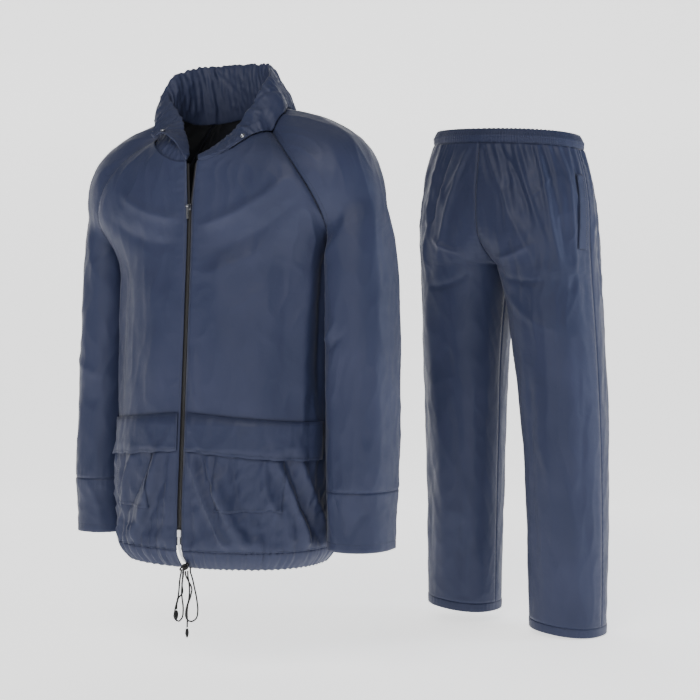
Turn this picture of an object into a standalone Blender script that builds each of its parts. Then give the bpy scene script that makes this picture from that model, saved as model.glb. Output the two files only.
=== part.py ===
# Rain suit: a raglan rain jacket and a pair of elastic-waist trousers, filled out as worn.
# Metres, +Z up. The origin is the middle of the jacket's neck opening, where the wearer holds it.
# Each garment is cut in its own frame, front to -Y and the wearer's left to +X, then turned on an empty.
import math
from collections import namedtuple

import bmesh
import bpy
import numpy as np
from mathutils import Matrix, Vector
from mathutils.bvhtree import BVHTree

# Cloth and seams
CLOTH = 0.0014
SEAM_GAP = 0.0003
CORNER_GAP = 0.0009  # at the underarm and the crotch, where four edges meet
NECK_DIP = 2.0  # how late the neck seam rises from the zip to the shoulder
ROUND = 0.88  # power of sine and cosine in a section, under 1 is fuller than an ellipse

# Where the two garments stand
JACKET_TURN = math.radians(-28)
TROUSERS_TURN = math.radians(-38)
TROUSERS_PLACE = (0.565, 0.343, 0.0)
TROUSERS_LEAN = 0.0875  # how far the wearer's left side hangs lower, for each metre to the left

# Jacket heights
HEM_BOTTOM = -0.797
HEM_SEAM = -0.764
UNDERARM = -0.235
NECK_FRONT = -0.090
ZIP_BOTTOM = -0.729
SLIDER_TOP = -0.166
CUFF_SEAM = -0.660
CUFF_BOTTOM = -0.761
CUFF_MIDDLE = -0.715
ZIP_SLOT = 0.0045  # half the slot between the fronts
ZIP_OPEN = 0.011  # half the slot at the neck, above the slider

# Trousers heights
WAIST_TOP = 0.028
WAIST_SEAM = -0.002
LEG_BOTTOM = -0.971
WAIST_HALF_WIDTH = 0.1635
WAIST_HALF_DEPTH = 0.109
WAIST_BULGE = ((WAIST_SEAM, 0.0), (0.013, 0.001), (WAIST_TOP, -0.006))  # height and swell
RIB_HEIGHT = 0.0013
WAIST_GATHER = 0.0024  # gathers at the waist seam
WAIST_GATHER_DROP = 0.075

# Grid steps
BODY_ROWS = 13
CAP_ROWS = 8
FRONT_STEPS = 12
BACK_STEPS = 18
SLEEVE_STEPS = 16
SLEEVE_ROWS = 7
LEG_STEPS = 16
LEG_ROWS = 13
RIBS = 48
HEM_GATHERS = 38
HEM_SLOT = 0.0026  # of a turn, half the gap at the zip
HEM_PUFF = ((HEM_BOTTOM, 0.0018), (-0.783, 0.0021), (HEM_SEAM, 0.0018))  # height and gather

Body = namedtuple("Body", "z half_width front back")
BODY = (
    Body(-0.797, 0.186, 0.134, 0.136),
    Body(-0.775, 0.201, 0.149, 0.149),
    Body(-0.720, 0.207, 0.152, 0.152),
    Body(-0.600, 0.210, 0.146, 0.148),
    Body(-0.450, 0.211, 0.137, 0.142),
    Body(-0.300, 0.211, 0.128, 0.138),
    Body(-0.235, 0.2105, 0.124, 0.135),
)

# The raglan seams, from the underarm (0) to the neck (1)
Seam = namedtuple("Seam", "t x y z")
RAGLAN_FRONT = (
    Seam(0.0, 0.2105, 0.000, -0.235),
    Seam(0.2, 0.2340, -0.055, -0.208),
    Seam(0.4, 0.2240, -0.084, -0.160),
    Seam(0.6, 0.1960, -0.094, -0.112),
    Seam(0.8, 0.1570, -0.078, -0.068),
    Seam(1.0, 0.1160, -0.042, -0.035),
)
RAGLAN_BACK = (
    Seam(0.0, 0.2105, 0.000, -0.235),
    Seam(0.2, 0.2340, 0.058, -0.203),
    Seam(0.4, 0.2220, 0.094, -0.152),
    Seam(0.6, 0.1900, 0.110, -0.098),
    Seam(0.8, 0.1450, 0.106, -0.044),
    Seam(1.0, 0.0780, 0.074, 0.011),
)
SHOULDER = (
    Seam(0.0, 0.3260, 0.000, -0.235),
    Seam(0.2, 0.3150, 0.000, -0.178),
    Seam(0.4, 0.3020, 0.000, -0.117),
    Seam(0.6, 0.2680, 0.003, -0.056),
    Seam(0.8, 0.1990, 0.008, -0.013),
    Seam(1.0, 0.1120, 0.012, 0.012),
)
CENTRE_FRONT = (
    Seam(0.0, 0.0, -0.124, -0.235),
    Seam(0.5, 0.0, -0.121, -0.160),
    Seam(1.0, 0.0, -0.115, -0.090),
)
CENTRE_BACK = (
    Seam(0.0, 0.0, 0.135, -0.235),
    Seam(0.4, 0.0, 0.132, -0.130),
    Seam(0.75, 0.0, 0.116, -0.040),
    Seam(1.0, 0.0, 0.096, 0.020),
)

# The sleeve's tube below the underarm, and how far back its outer side hangs
Tube = namedtuple("Tube", "z centre half_width half_depth back")
SLEEVE_LEFT = (
    Tube(-0.761, 0.2750, 0.0535, 0.0670, 0.000),
    Tube(-0.700, 0.2755, 0.0545, 0.0690, 0.000),
    Tube(-0.660, 0.2765, 0.0560, 0.0720, 0.000),
    Tube(-0.500, 0.2765, 0.0570, 0.0740, 0.000),
    Tube(-0.320, 0.2745, 0.0565, 0.0750, 0.000),
    Tube(-0.262, 0.2720, 0.0550, 0.0750, 0.000),
    Tube(-0.235, 0.26825, 0.05775, 0.0740, 0.000),
)
SLEEVE_RIGHT = (
    Tube(-0.761, 0.2750, 0.0530, 0.0670, 0.010),
    Tube(-0.700, 0.2750, 0.0535, 0.0690, 0.010),
    Tube(-0.660, 0.2750, 0.0540, 0.0720, 0.011),
    Tube(-0.500, 0.2740, 0.0540, 0.0720, 0.021),
    Tube(-0.320, 0.2720, 0.0540, 0.0730, 0.032),
    Tube(-0.262, 0.2700, 0.0530, 0.0730, 0.033),
    Tube(-0.235, 0.26675, 0.05625, 0.0740, 0.031),
)
CAP_DEPTH = 0.074
RIGHT_PULL = 0.060  # how much flatter the right shoulder lies

# The trousers: seam at the front and back middle, or the inseam below the crotch, and the side seam
Leg = namedtuple("Leg", "step seam_x seam_half_depth seam_z side_x side_z half_depth")
LEGS = (
    Leg(0.00, 0.0000, 0.110, -0.002, 0.1645, -0.002, 0.110),
    Leg(0.08, 0.0000, 0.121, -0.060, 0.1800, -0.060, 0.121),
    Leg(0.16, 0.0000, 0.129, -0.125, 0.1870, -0.125, 0.130),
    Leg(0.22, 0.0000, 0.126, -0.175, 0.1875, -0.175, 0.132),
    Leg(0.28, 0.0000, 0.103, -0.212, 0.1880, -0.215, 0.129),
    Leg(0.33, 0.0000, 0.058, -0.238, 0.1890, -0.245, 0.124),
    Leg(0.37, 0.0000, 0.000, -0.250, 0.1900, -0.268, 0.119),
    Leg(0.42, 0.0100, 0.000, -0.292, 0.1920, -0.300, 0.112),
    Leg(0.52, 0.0240, 0.000, -0.400, 0.1970, -0.400, 0.101),
    Leg(0.70, 0.0390, 0.000, -0.600, 0.1990, -0.600, 0.089),
    Leg(0.86, 0.0460, 0.000, -0.800, 0.2000, -0.800, 0.080),
    Leg(1.00, 0.0485, 0.000, -0.953, 0.1985, -0.953, 0.076),
)
# The side pocket's welt, down the leg and round it
WELT_STEPS = (0.075, 0.265)
WELT_TURNS = (-0.145, -0.055)
WELT_CLEAR = 0.0034
WELT_THICK = 0.0012

# How far the trousers sway to the wearer's right, by height
Sway = namedtuple("Sway", "z shift")
SWAY = (
    Sway(-0.975, 0.0000),
    Sway(-0.750, 0.0000),
    Sway(-0.580, -0.0020),
    Sway(-0.420, -0.0085),
    Sway(-0.250, -0.0124),
    Sway(-0.150, -0.0145),
    Sway(0.040, -0.0185),
)
CROTCH_STEP = 0.37

# Large folds of the lower fronts: a line across the cloth, and how far it stands out or in
Fold = namedtuple("Fold", "x0 z0 x1 z1 width height")
FRONT_FOLDS = (
    Fold(0.020, -0.600, 0.085, -0.770, 0.011, -0.0050),
    Fold(0.045, -0.600, 0.120, -0.765, 0.013, 0.0055),
    Fold(0.110, -0.620, 0.165, -0.765, 0.012, -0.0045),
    Fold(0.150, -0.610, 0.190, -0.750, 0.012, 0.0040),
)

# The collar: share of the neck seam, lower outer edge, top fold, how far puffed, how hollow below
Collar = namedtuple("Collar", "s low_x low_y low_z top_x top_y top_z puff hollow")
COLLAR_LEFT = (
    Collar(0.00, 0.0160, -0.1185, -0.0885, 0.0110, -0.1120, -0.0800, 0.001, 0.0),
    Collar(0.07, 0.0380, -0.1160, -0.0835, 0.0270, -0.1010, -0.0700, 0.002, 0.0),
    Collar(0.15, 0.0660, -0.1075, -0.0745, 0.0460, -0.0880, -0.0530, 0.003, 0.0),
    Collar(0.26, 0.1000, -0.0910, -0.0600, 0.0680, -0.0760, -0.0300, 0.005, 0.0),
    Collar(0.38, 0.1260, -0.0610, -0.0440, 0.0860, -0.0600, 0.0060, 0.007, 0.0),
    Collar(0.47, 0.1370, -0.0260, -0.0200, 0.0960, -0.0360, 0.0440, 0.008, 0.0),
    Collar(0.56, 0.1170, 0.0110, 0.0120, 0.0930, -0.0080, 0.0700, 0.005, 0.0),
    Collar(0.68, 0.0950, 0.0500, 0.0140, 0.0700, 0.0300, 0.0930, 0.005, 0.0),
    Collar(0.86, 0.0520, 0.0880, 0.0190, 0.0370, 0.0700, 0.1090, 0.008, 0.0),
    Collar(1.00, 0.0000, 0.1060, 0.0240, 0.0000, 0.0850, 0.1170, 0.014, 0.0),
)
COLLAR_RIGHT = (
    Collar(0.00, 0.0140, -0.1185, -0.0800, 0.0090, -0.1080, -0.0780, 0.001, 0.20),
    Collar(0.07, 0.0320, -0.1170, -0.0540, 0.0220, -0.0930, -0.0560, 0.002, 0.45),
    Collar(0.15, 0.0600, -0.1120, -0.0360, 0.0420, -0.0760, -0.0300, 0.003, 0.50),
    Collar(0.26, 0.0910, -0.0990, -0.0400, 0.0620, -0.0560, -0.0020, 0.004, 0.50),
    Collar(0.38, 0.1080, -0.0780, -0.0200, 0.0960, -0.0340, 0.0280, 0.006, 0.35),
    Collar(0.47, 0.1260, -0.0420, 0.0000, 0.1250, -0.0130, 0.0570, 0.008, 0.12),
    Collar(0.56, 0.1320, 0.0040, 0.0060, 0.1260, 0.0060, 0.0880, 0.010, 0.0),
    Collar(0.68, 0.1140, 0.0500, 0.0100, 0.1080, 0.0400, 0.1090, 0.011, 0.0),
    Collar(0.86, 0.0620, 0.0880, 0.0180, 0.0600, 0.0740, 0.1170, 0.013, 0.0),
    Collar(1.00, 0.0000, 0.1060, 0.0240, 0.0000, 0.0850, 0.1170, 0.014, 0.0),
)
COLLAR_STATIONS = 25  # on each side
COLLAR_SEAT = 0.0007  # above the neck seam
COLLAR_INSET = 0.985
COLLAR_START = 0.01  # of the neck seam, left free at the zip
COLLAR_CLEAR = 0.0035  # above the cloth that it rests on
COLLAR_FOOT = 0.0060  # least thickness at its foot
STEEPEST = 0.35

# Pocket flaps and bags on the fronts
FLAP_TOP_CENTRE = -0.527
FLAP_TOP_SIDE = -0.543
FLAP_HEIGHT = 0.066
FLAP_FROM = 0  # first column of the front's grid
FLAP_TO = 11
FLAP_INSET = 0.004  # the flap and the bag stop this far short of a column
FLAP_CLEAR = 0.0050  # the flap's face stands this far off the front
FLAP_FLARE = 0.0030  # and its lower edge this much more
BAG_CLEAR = 0.0031
LAID_THICK = 0.0012
LEAST_ROW = 0.004  # a row of the front nearer than this to an edge is left out
BAG_FROM = 2
BAG_TO = 7
BAG_TOP = -0.548
BAG_BOTTOM = -0.695

# Zip
ZIP_BACK = 0.0002  # the teeth and the slider's back, behind the cloth's face
TAPE_INNER = 0.0006
TAPE_OUTER = 0.0120
TAPE_THICK = 0.0009
TAPE_SHORT = 0.004
TAPE_CURVE = 0.0011
CHAIN_HALF = 0.0026
CHAIN_THICK = 0.0013
CHAIN_GAP = 0.0006
CHAIN_HIDDEN = 0.0070  # how far the teeth run on behind the slider
SLIDER_HALF = 0.0038
SLIDER_HEIGHT = 0.011
SLIDER_THICK = 0.0030
SLIDER_EDGE = 0.0006
PIN_OUT = 0.0060  # in front of the slider's back
PIN_DOWN = 0.004
PIN_RADIUS = 0.0006
PIN_PLAY = 0.0003
CHEEK_GAP = 0.0004
CHEEK_THICK = 0.0010
CHEEK_OUT = 0.0011
CHEEK_HALF = 0.0015
CHEEK_SUNK = 0.0008
EYE_RADIUS = 0.0016
EYE_INSET = 0.0001
PULL_LENGTH = 0.022
PULL_HALF = 0.0021
PULL_THICK = 0.0011
PULL_TOP = 0.0011
ZIP_BOX_HALF = 0.0034
ZIP_BOX_HEIGHT = 0.0125
ZIP_BOX_FRONT = 0.0022
ZIP_BOX_BACK = 0.0012
TAPE_END_BOTTOM = -0.784
TAPE_END_HALF = 0.0022
TAPE_END_OUT = 0.0004
TAPE_END_CURVE = 1.6
TAPE_END_DRIFT = 0.0080
TAPE_END_LIFT = 0.0038

# Press studs
STUD_RADIUS = 0.0042
STUD_THICK = 0.0016
STUD_OUT = 0.0020
STUD_LEFT = 0.24  # places along the collar
STUD_RIGHT = 0.17

# Drawcord
CORD = 0.0028
LOOP_POINTS = 30
TAIL_POINTS = 16
Point = namedtuple("Point", "x y z")
CORD_LEFT = (
    Point(-0.0647, -0.1385, -0.8040),
    Point(-0.0665, -0.1400, -0.8355),
    Point(-0.0640, -0.1400, -0.8681),
    Point(-0.0655, -0.1395, -0.8784),
    Point(-0.0723, -0.1380, -0.8853),
    Point(-0.0793, -0.1365, -0.8802),
    Point(-0.0785, -0.1355, -0.8664),
    Point(-0.0733, -0.1345, -0.8441),
    Point(-0.0699, -0.1345, -0.8115),
    Point(-0.0682, -0.1345, -0.8020),
)
CORD_RIGHT = (
    Point(-0.0562, -0.1385, -0.8040),
    Point(-0.0534, -0.1395, -0.8252),
    Point(-0.0544, -0.1385, -0.8475),
    Point(-0.0597, -0.1365, -0.8681),
    Point(-0.0597, -0.1360, -0.8784),
    Point(-0.0558, -0.1355, -0.8848),
    Point(-0.0501, -0.1355, -0.8863),
    Point(-0.0424, -0.1350, -0.8814),
    Point(-0.0395, -0.1345, -0.8681),
    Point(-0.0409, -0.1345, -0.8510),
    Point(-0.0459, -0.1345, -0.8252),
    Point(-0.0501, -0.1345, -0.8080),
    Point(-0.0522, -0.1345, -0.8020),
)
CORD_TAIL = (
    Point(-0.0598, -0.1410, -0.8040),
    Point(-0.0540, -0.1460, -0.8149),
    Point(-0.0482, -0.1480, -0.8270),
    Point(-0.0501, -0.1480, -0.8400),
    Point(-0.0550, -0.1480, -0.8556),
    Point(-0.0562, -0.1480, -0.8699),
    Point(-0.0558, -0.1480, -0.8827),
    Point(-0.0562, -0.1480, -0.8935),
)
CORD_TAIL_LEFT = (
    Point(-0.0645, -0.1320, -0.8040),
    Point(-0.0672, -0.1300, -0.8220),
    Point(-0.0670, -0.1300, -0.8393),
    Point(-0.0727, -0.1300, -0.8460),
    Point(-0.0760, -0.1300, -0.8578),
    Point(-0.0765, -0.1300, -0.8660),
)
KNOT = (0.0094, -0.1500, -0.7925)
KNOT_RADII = (0.0098, 0.0056, 0.0068)
CORD_END_RADII = (0.0034, 0.0034, 0.0088)
END_GAP = 0.0007

# Colours are linear; the cloth is a coated nylon
NAVY = (0.045, 0.062, 0.118, 1.0)
NAVY_DARK = (0.012, 0.018, 0.045, 1.0)
BLACK = (0.010, 0.010, 0.012, 1.0)
WHITE = (0.750, 0.760, 0.780, 1.0)
METAL = (0.550, 0.550, 0.560, 1.0)


def clear_scene():
    for thing in list(bpy.data.objects):
        bpy.data.objects.remove(thing)


def material(name, colour, roughness, metallic=0.0):
    made = bpy.data.materials.new(name)
    made.use_nodes = True
    shader = made.node_tree.nodes["Principled BSDF"]
    shader.inputs["Base Color"].default_value = colour
    shader.inputs["Roughness"].default_value = roughness
    shader.inputs["Metallic"].default_value = metallic
    return made


def place(name, turn, at):
    """An empty that carries one garment."""
    empty = bpy.data.objects.new(name, None)
    empty.rotation_euler = (0.0, 0.0, turn)
    empty.location = at
    bpy.context.scene.collection.objects.link(empty)
    return empty


def column(rows, key, name, at):
    """A smooth curve through one column of a table, read at the values in at."""
    keys = np.array([getattr(row, key) for row in rows])
    values = np.array([getattr(row, name) for row in rows])
    slopes = np.gradient(values, keys)
    at = np.clip(np.asarray(at, float), keys.min(), keys.max())
    k = np.clip(np.searchsorted(keys, at) - 1, 0, len(keys) - 2)
    width = keys[k + 1] - keys[k]
    f = (at - keys[k]) / width
    rise = values[k + 1] - values[k]
    start = slopes[k] * width
    end = slopes[k + 1] * width
    return values[k] + f * (start + f * (3 * rise - 2 * start - end + f * (start + end - 2 * rise)))


def seam_point(rows, t):
    return np.array([column(rows, "t", axis, t) for axis in "xyz"])


def power(value, exponent):
    return np.sign(value) * np.abs(value) ** exponent


def quarter(middle, side, turn, start_x):
    """A row across half a front or back: from its middle seam to its side, at fractions in turn."""
    sine = power(np.sin(turn * math.pi / 2), ROUND)
    cosine = power(np.cos(turn * math.pi / 2), ROUND)
    x = start_x + (side[0] - start_x) * sine
    y = side[1] + (middle[1] - side[1]) * cosine
    z = middle[2] + (side[2] - middle[2]) * sine**NECK_DIP
    return np.stack([x, y, z], axis=-1)


def tube_row(front, back, side, half_depth, turn, crown=1.0):
    """A row round a sleeve or leg from the front seam, past its outer side, to the back seam."""
    middle = (front + back) / 2
    half_gap = (back[1] - front[1]) / 2
    share = min(1.0, half_gap / half_depth)
    opening = math.pi - math.asin(share ** (1 / ROUND))
    angle = opening * turn
    low = power(math.cos(opening), ROUND)
    along = (power(np.cos(angle), ROUND) - low) / (1 - low)
    row = middle + np.outer(along, side - middle)
    risen = np.abs(along) ** crown
    row[:, 2] = middle[2] + (side[2] - middle[2]) * risen
    fitted = half_gap / share if share else half_depth
    aside = fitted * power(np.sin(angle), ROUND)
    row[:, 1] += aside
    if half_gap > 1e-6:
        slope = (back - front) / (2 * half_gap)
        row[:, 0] += slope[0] * aside * (1 - along)
        row[:, 2] += slope[2] * aside * (1 - risen)
    return row


def fold_height(folds, x, z):
    """How far the folds push the cloth out at each point."""
    height = np.zeros_like(x)
    for fold in folds:
        run = np.array([fold.x1 - fold.x0, fold.z1 - fold.z0])
        length = np.hypot(*run)
        along = ((x - fold.x0) * run[0] + (z - fold.z0) * run[1]) / length**2
        across = ((x - fold.x0) * run[1] - (z - fold.z0) * run[0]) / length
        ends = np.clip(along, 0, 1) * np.clip(1.25 - along, 0, 1) * 2.2
        height += fold.height * np.exp(-((across / fold.width) ** 2)) * np.clip(ends, 0, 1)
    return height


def body_levels():
    return np.linspace(HEM_SEAM, UNDERARM, BODY_ROWS)


def cap_levels():
    return np.linspace(0, 1, CAP_ROWS + 1)[1:]


def body_row(z, face, turn, start_x):
    half_width = float(column(BODY, "z", "half_width", z))
    depth = float(column(BODY, "z", face, z))
    sign = -1 if face == "front" else 1
    return quarter(np.array([0, sign * depth, z]), np.array([half_width, 0, z]), turn, start_x)


def zip_edge(z):
    """Half the slot between the fronts at a height."""
    up = np.clip((z - SLIDER_TOP) / (NECK_FRONT - SLIDER_TOP), 0, 1)
    return ZIP_SLOT + (ZIP_OPEN - ZIP_SLOT) * up


def front_grid():
    turn = np.linspace(0, 1, FRONT_STEPS + 1)
    rows = [body_row(z, "front", turn, zip_edge(z)) for z in body_levels()]
    for t in cap_levels():
        middle = seam_point(CENTRE_FRONT, t)
        rows.append(quarter(middle, seam_point(RAGLAN_FRONT, t), turn, zip_edge(middle[2])))
    grid = np.array(rows)
    grid[:, :, 1] -= fold_height(FRONT_FOLDS, grid[:, :, 0], grid[:, :, 2])
    return grid


def back_grid():
    turn = np.linspace(0, 1, BACK_STEPS // 2 + 1)
    rows = [body_row(z, "back", turn, 0.0) for z in body_levels()]
    for t in cap_levels():
        rows.append(quarter(seam_point(CENTRE_BACK, t), seam_point(RAGLAN_BACK, t), turn, 0.0))
    half = np.array(rows)
    other = half[:, :0:-1] * (-1, 1, 1)
    return np.concatenate([other, half], axis=1)


def sleeve_row(table, z, turn):
    centre = float(column(table, "z", "centre", z))
    half_width = float(column(table, "z", "half_width", z))
    half_depth = float(column(table, "z", "half_depth", z))
    back = float(column(table, "z", "back", z))
    inner = np.array([centre - half_width, 0, z])
    return tube_row(inner, inner, np.array([centre + half_width, back, z]), half_depth, turn)


def sleeve_grid(table, pull):
    turn = np.linspace(-1, 1, SLEEVE_STEPS + 1)
    rows = [sleeve_row(table, z, turn) for z in np.linspace(CUFF_SEAM, UNDERARM, SLEEVE_ROWS + 1)]
    lowest = table[-1]
    for t in cap_levels():
        front = seam_point(RAGLAN_FRONT, t)
        back = seam_point(RAGLAN_BACK, t)
        half_gap = (back[1] - front[1]) / 2
        half_depth = max(half_gap, CAP_DEPTH * (1 - t) ** 0.5)
        outer = seam_point(SHOULDER, t)
        outer[0] += (lowest.centre + lowest.half_width - SHOULDER[0].x) * (1 - t) ** 2
        outer[0] -= pull * t**2 * (1 - t)
        outer[1] += lowest.back * (1 - t) ** 2
        rows.append(tube_row(front, back, outer, half_depth, turn, 1 + t))
    return np.array(rows)


def cuff_grid(table):
    turn = np.linspace(-1, 1, SLEEVE_STEPS + 1)
    return np.array([sleeve_row(table, z, turn) for z in (CUFF_BOTTOM, CUFF_MIDDLE, CUFF_SEAM)])


def hem_grid():
    """The drawcord tunnel: a ring, gathered, open by the zip's slot at the middle of the front."""
    turn = np.linspace(HEM_SLOT, 1 - HEM_SLOT, HEM_GATHERS * 2 + 1)
    angle = 2 * math.pi * turn - math.pi / 2
    ridge = (1 - 2 * (np.arange(len(turn)) % 2)).astype(float)
    ridge[[0, -1]] = 0.0
    rows = []
    for z, height in HEM_PUFF:
        half_width = float(column(BODY, "z", "half_width", z))
        front = float(column(BODY, "z", "front", z))
        back = float(column(BODY, "z", "back", z))
        depth = np.where(np.sin(angle) < 0, front, back)
        x = (half_width + height * ridge) * power(np.cos(angle), ROUND)
        y = (depth + height * ridge) * power(np.sin(angle), ROUND)
        rows.append(np.stack([x, y, np.full_like(x, z)], axis=-1))
    return np.array(rows)


def leg_row(step, turn):
    value = {name: float(column(LEGS, "step", name, step)) for name in Leg._fields[1:]}
    if step <= 0.22:
        value["seam_x"] = 0.0
    half_gap = max(0.0, value["seam_half_depth"])
    if step >= CROTCH_STEP:
        half_gap = 0.0
    front = np.array([max(0.0, value["seam_x"]), -half_gap, value["seam_z"]])
    back = front * (1, -1, 1)
    side = np.array([value["side_x"], 0.0, value["side_z"]])
    return tube_row(front, back, side, max(value["half_depth"], half_gap), turn)


def leg_steps():
    upper = np.linspace(0, CROTCH_STEP, 8)
    lower = np.linspace(CROTCH_STEP, 1, LEG_ROWS - 7)[1:]
    return np.concatenate([upper, lower])


def leg_grid(face):
    """A front or back of the trousers, gathered below the waistband."""
    turn = np.linspace(0, 1, LEG_STEPS + 1)
    turn = turn - 1 if face == "front" else turn
    grid = np.array([leg_row(step, turn) for step in leg_steps()])
    ridge = (1 - 2 * (np.arange(LEG_STEPS + 1) % 2)).astype(float)
    ridge[[0, -1]] = 0.0
    fade = np.exp(-(((WAIST_SEAM - grid[:, :, 2]) / WAIST_GATHER_DROP) ** 2))
    outward = grid * (1, 1, 0)
    outward /= np.linalg.norm(outward, axis=2, keepdims=True) + 1e-9
    return grid + outward * (WAIST_GATHER * fade * ridge)[:, :, None]


def leg_welt_grid():
    """The side pocket's welt, laid on the front beside the side seam."""
    rows = []
    for step in np.linspace(*WELT_STEPS, 6):
        ends = leg_row(step, np.array(WELT_TURNS))
        run = ends[1] - ends[0]
        out = np.array([-run[1], run[0], 0.0]) / np.hypot(run[0], run[1])
        rows.append(ends + out * math.copysign(WELT_CLEAR, out @ (ends[0] * (1, 1, 0))))
    return np.array(rows)


def waistband_grid():
    count = RIBS * 2
    angle = 2 * math.pi * np.arange(count + 1) / count
    rows = []
    for z, bulge in WAIST_BULGE:
        rib = bulge + RIB_HEIGHT * (1 - 2 * (np.arange(count + 1) % 2))
        x = (WAIST_HALF_WIDTH + rib) * power(np.cos(angle), ROUND)
        y = (WAIST_HALF_DEPTH + rib) * power(np.sin(angle), ROUND)
        rows.append(np.stack([x, y, np.full_like(x, z)], axis=-1))
    return np.array(rows)


def leg_hem_grid():
    turn = np.linspace(-1, 1, LEG_STEPS + 1)
    top = leg_row(1.0, turn)
    bottom = top.copy()
    bottom[:, 2] = LEG_BOTTOM
    return np.array([bottom, top])


class Piece:
    """A cut piece of cloth: outer points, faces and normals, made into a closed wall later."""

    def __init__(self, name, grid, axis, finish, thickness=CLOTH, level=()):
        rows, columns = grid.shape[:2]
        flat = grid.reshape(-1, 3)
        keys, first, index = np.unique(
            np.round(flat, 7), axis=0, return_index=True, return_inverse=True
        )
        index = index.reshape(rows, columns)
        self.name = name
        self.finish = finish
        self.thickness = thickness
        self.points = flat[first]
        quads = []
        for i in range(rows - 1):
            for j in range(columns - 1):
                corner = [index[i, j], index[i, j + 1], index[i + 1, j + 1], index[i + 1, j]]
                quads.append([c for k, c in enumerate(corner) if c != corner[k - 1]])
        self.faces = [face for face in quads if len(face) > 2]
        self.normals = self.corner_normals()
        away = self.points - np.array([axis[0], axis[1], 0])
        away[:, 2] = 0
        if (self.normals * away).sum() < 0:
            self.faces = [face[::-1] for face in self.faces]
            self.normals = -self.normals
        self.facing = self.normals.copy()  # kept for trimming, after the edges are sewn
        self.level = {int(k) for row in level for k in index[row]}

    def corner_normals(self):
        normals = np.zeros_like(self.points)
        for face in self.faces:
            corner = self.points[face]
            area = np.cross(corner[2] - corner[0], corner[-1] - corner[1])
            normals[face] += area
        return normals / (np.linalg.norm(normals, axis=1, keepdims=True) + 1e-12)

    def rim(self):
        """The open edges, in the order that their faces run."""
        seen = {}
        for face in self.faces:
            for a, b in zip(face, face[1:] + face[:1]):
                seen[(a, b)] = True
        return [(a, b) for a, b in seen if (b, a) not in seen]

    def trim(self, corners):
        """Moves the open edges in by half a seam gap, along the cloth, and more at the corners."""
        inward = np.zeros_like(self.points)
        for a, b in self.rim():
            run = self.points[b] - self.points[a]
            for end in (a, b):
                side = np.cross(self.facing[end], run)
                inward[end] += side / (np.linalg.norm(side) + 1e-12)
        length = np.linalg.norm(inward, axis=1, keepdims=True)
        moved = np.where(length > 1e-9, inward / (length + 1e-12), 0)
        for k in self.level:
            if length[k] > 1e-9:
                moved[k] = (0, 0, np.sign(inward[k, 2]) or 1.0)
        reach = np.full((len(self.points), 1), SEAM_GAP / 2)
        reach[corners] = CORNER_GAP
        self.points = self.points + moved * reach

    def wall(self):
        """Points and faces of the closed wall, its thickness taken inwards."""
        normals = self.normals.copy()
        for k in self.level:
            normals[k, 2] = 0.0
        normals /= np.linalg.norm(normals, axis=1, keepdims=True) + 1e-12
        inner = self.points - normals * self.thickness
        count = len(self.points)
        faces = [list(face) for face in self.faces]
        faces += [[k + count for k in face[::-1]] for face in self.faces]
        faces += [[b, a, a + count, b + count] for a, b in self.rim()]
        return np.concatenate([self.points, inner]), faces


def sew(pieces, fixed):
    """Gives pieces the same normal where their edges meet, so that their walls meet in a mitre."""
    shared = {}
    corners = {piece.name: [] for piece in pieces}
    for piece in pieces:
        for k, point in enumerate(np.round(piece.points, 6)):
            shared.setdefault(tuple(point), []).append((piece, k))
    for point, users in shared.items():
        total = sum(piece.normals[k] for piece, k in users)
        total = total / (np.linalg.norm(total) + 1e-12)
        for place_at in fixed:
            if np.abs(np.array(point) - place_at).max() < 2e-5:
                total = np.array((0.0, 0.0, -1.0))
                for piece, k in users:
                    corners[piece.name].append(k)
        for piece, k in users:
            piece.normals[k] = total
    for piece in pieces:
        piece.trim(corners[piece.name])


def add_mesh(name, points, faces, finish, parent, lean=0.0):
    """One object from points and faces in a garment's frame, its faces turned out."""
    points = np.array(points, float)
    if lean:
        points[:, 0] += column(SWAY, "z", "shift", points[:, 2])
        points[:, 2] -= lean * points[:, 0]
    mesh = bpy.data.meshes.new(name)
    mesh.from_pydata(points.tolist(), [], [[int(k) for k in face] for face in faces])
    model = bmesh.new()
    model.from_mesh(mesh)
    bmesh.ops.triangulate(model, faces=model.faces[:])
    if model.calc_volume(signed=True) < 0:
        bmesh.ops.reverse_faces(model, faces=model.faces[:])
    model.to_mesh(mesh)
    model.free()
    mesh.materials.append(finish)
    mesh.shade_smooth()
    made = bpy.data.objects.new(name, mesh)
    bpy.context.scene.collection.objects.link(made)
    made.parent = parent
    return made


def add_piece(piece, parent, lean=0.0):
    points, faces = piece.wall()
    return add_mesh(piece.name, points, faces, piece.finish, parent, lean)


def mirrored(grid):
    return grid[:, ::-1] * (-1, 1, 1)


def flap_top(x):
    return FLAP_TOP_CENTRE + (FLAP_TOP_SIDE - FLAP_TOP_CENTRE) * min(1.0, x / 0.19)


def flap_bottom(x):
    return flap_top(x) - FLAP_HEIGHT


def bag_top(x):
    return BAG_TOP


def bag_bottom(x):
    return BAG_BOTTOM


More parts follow.
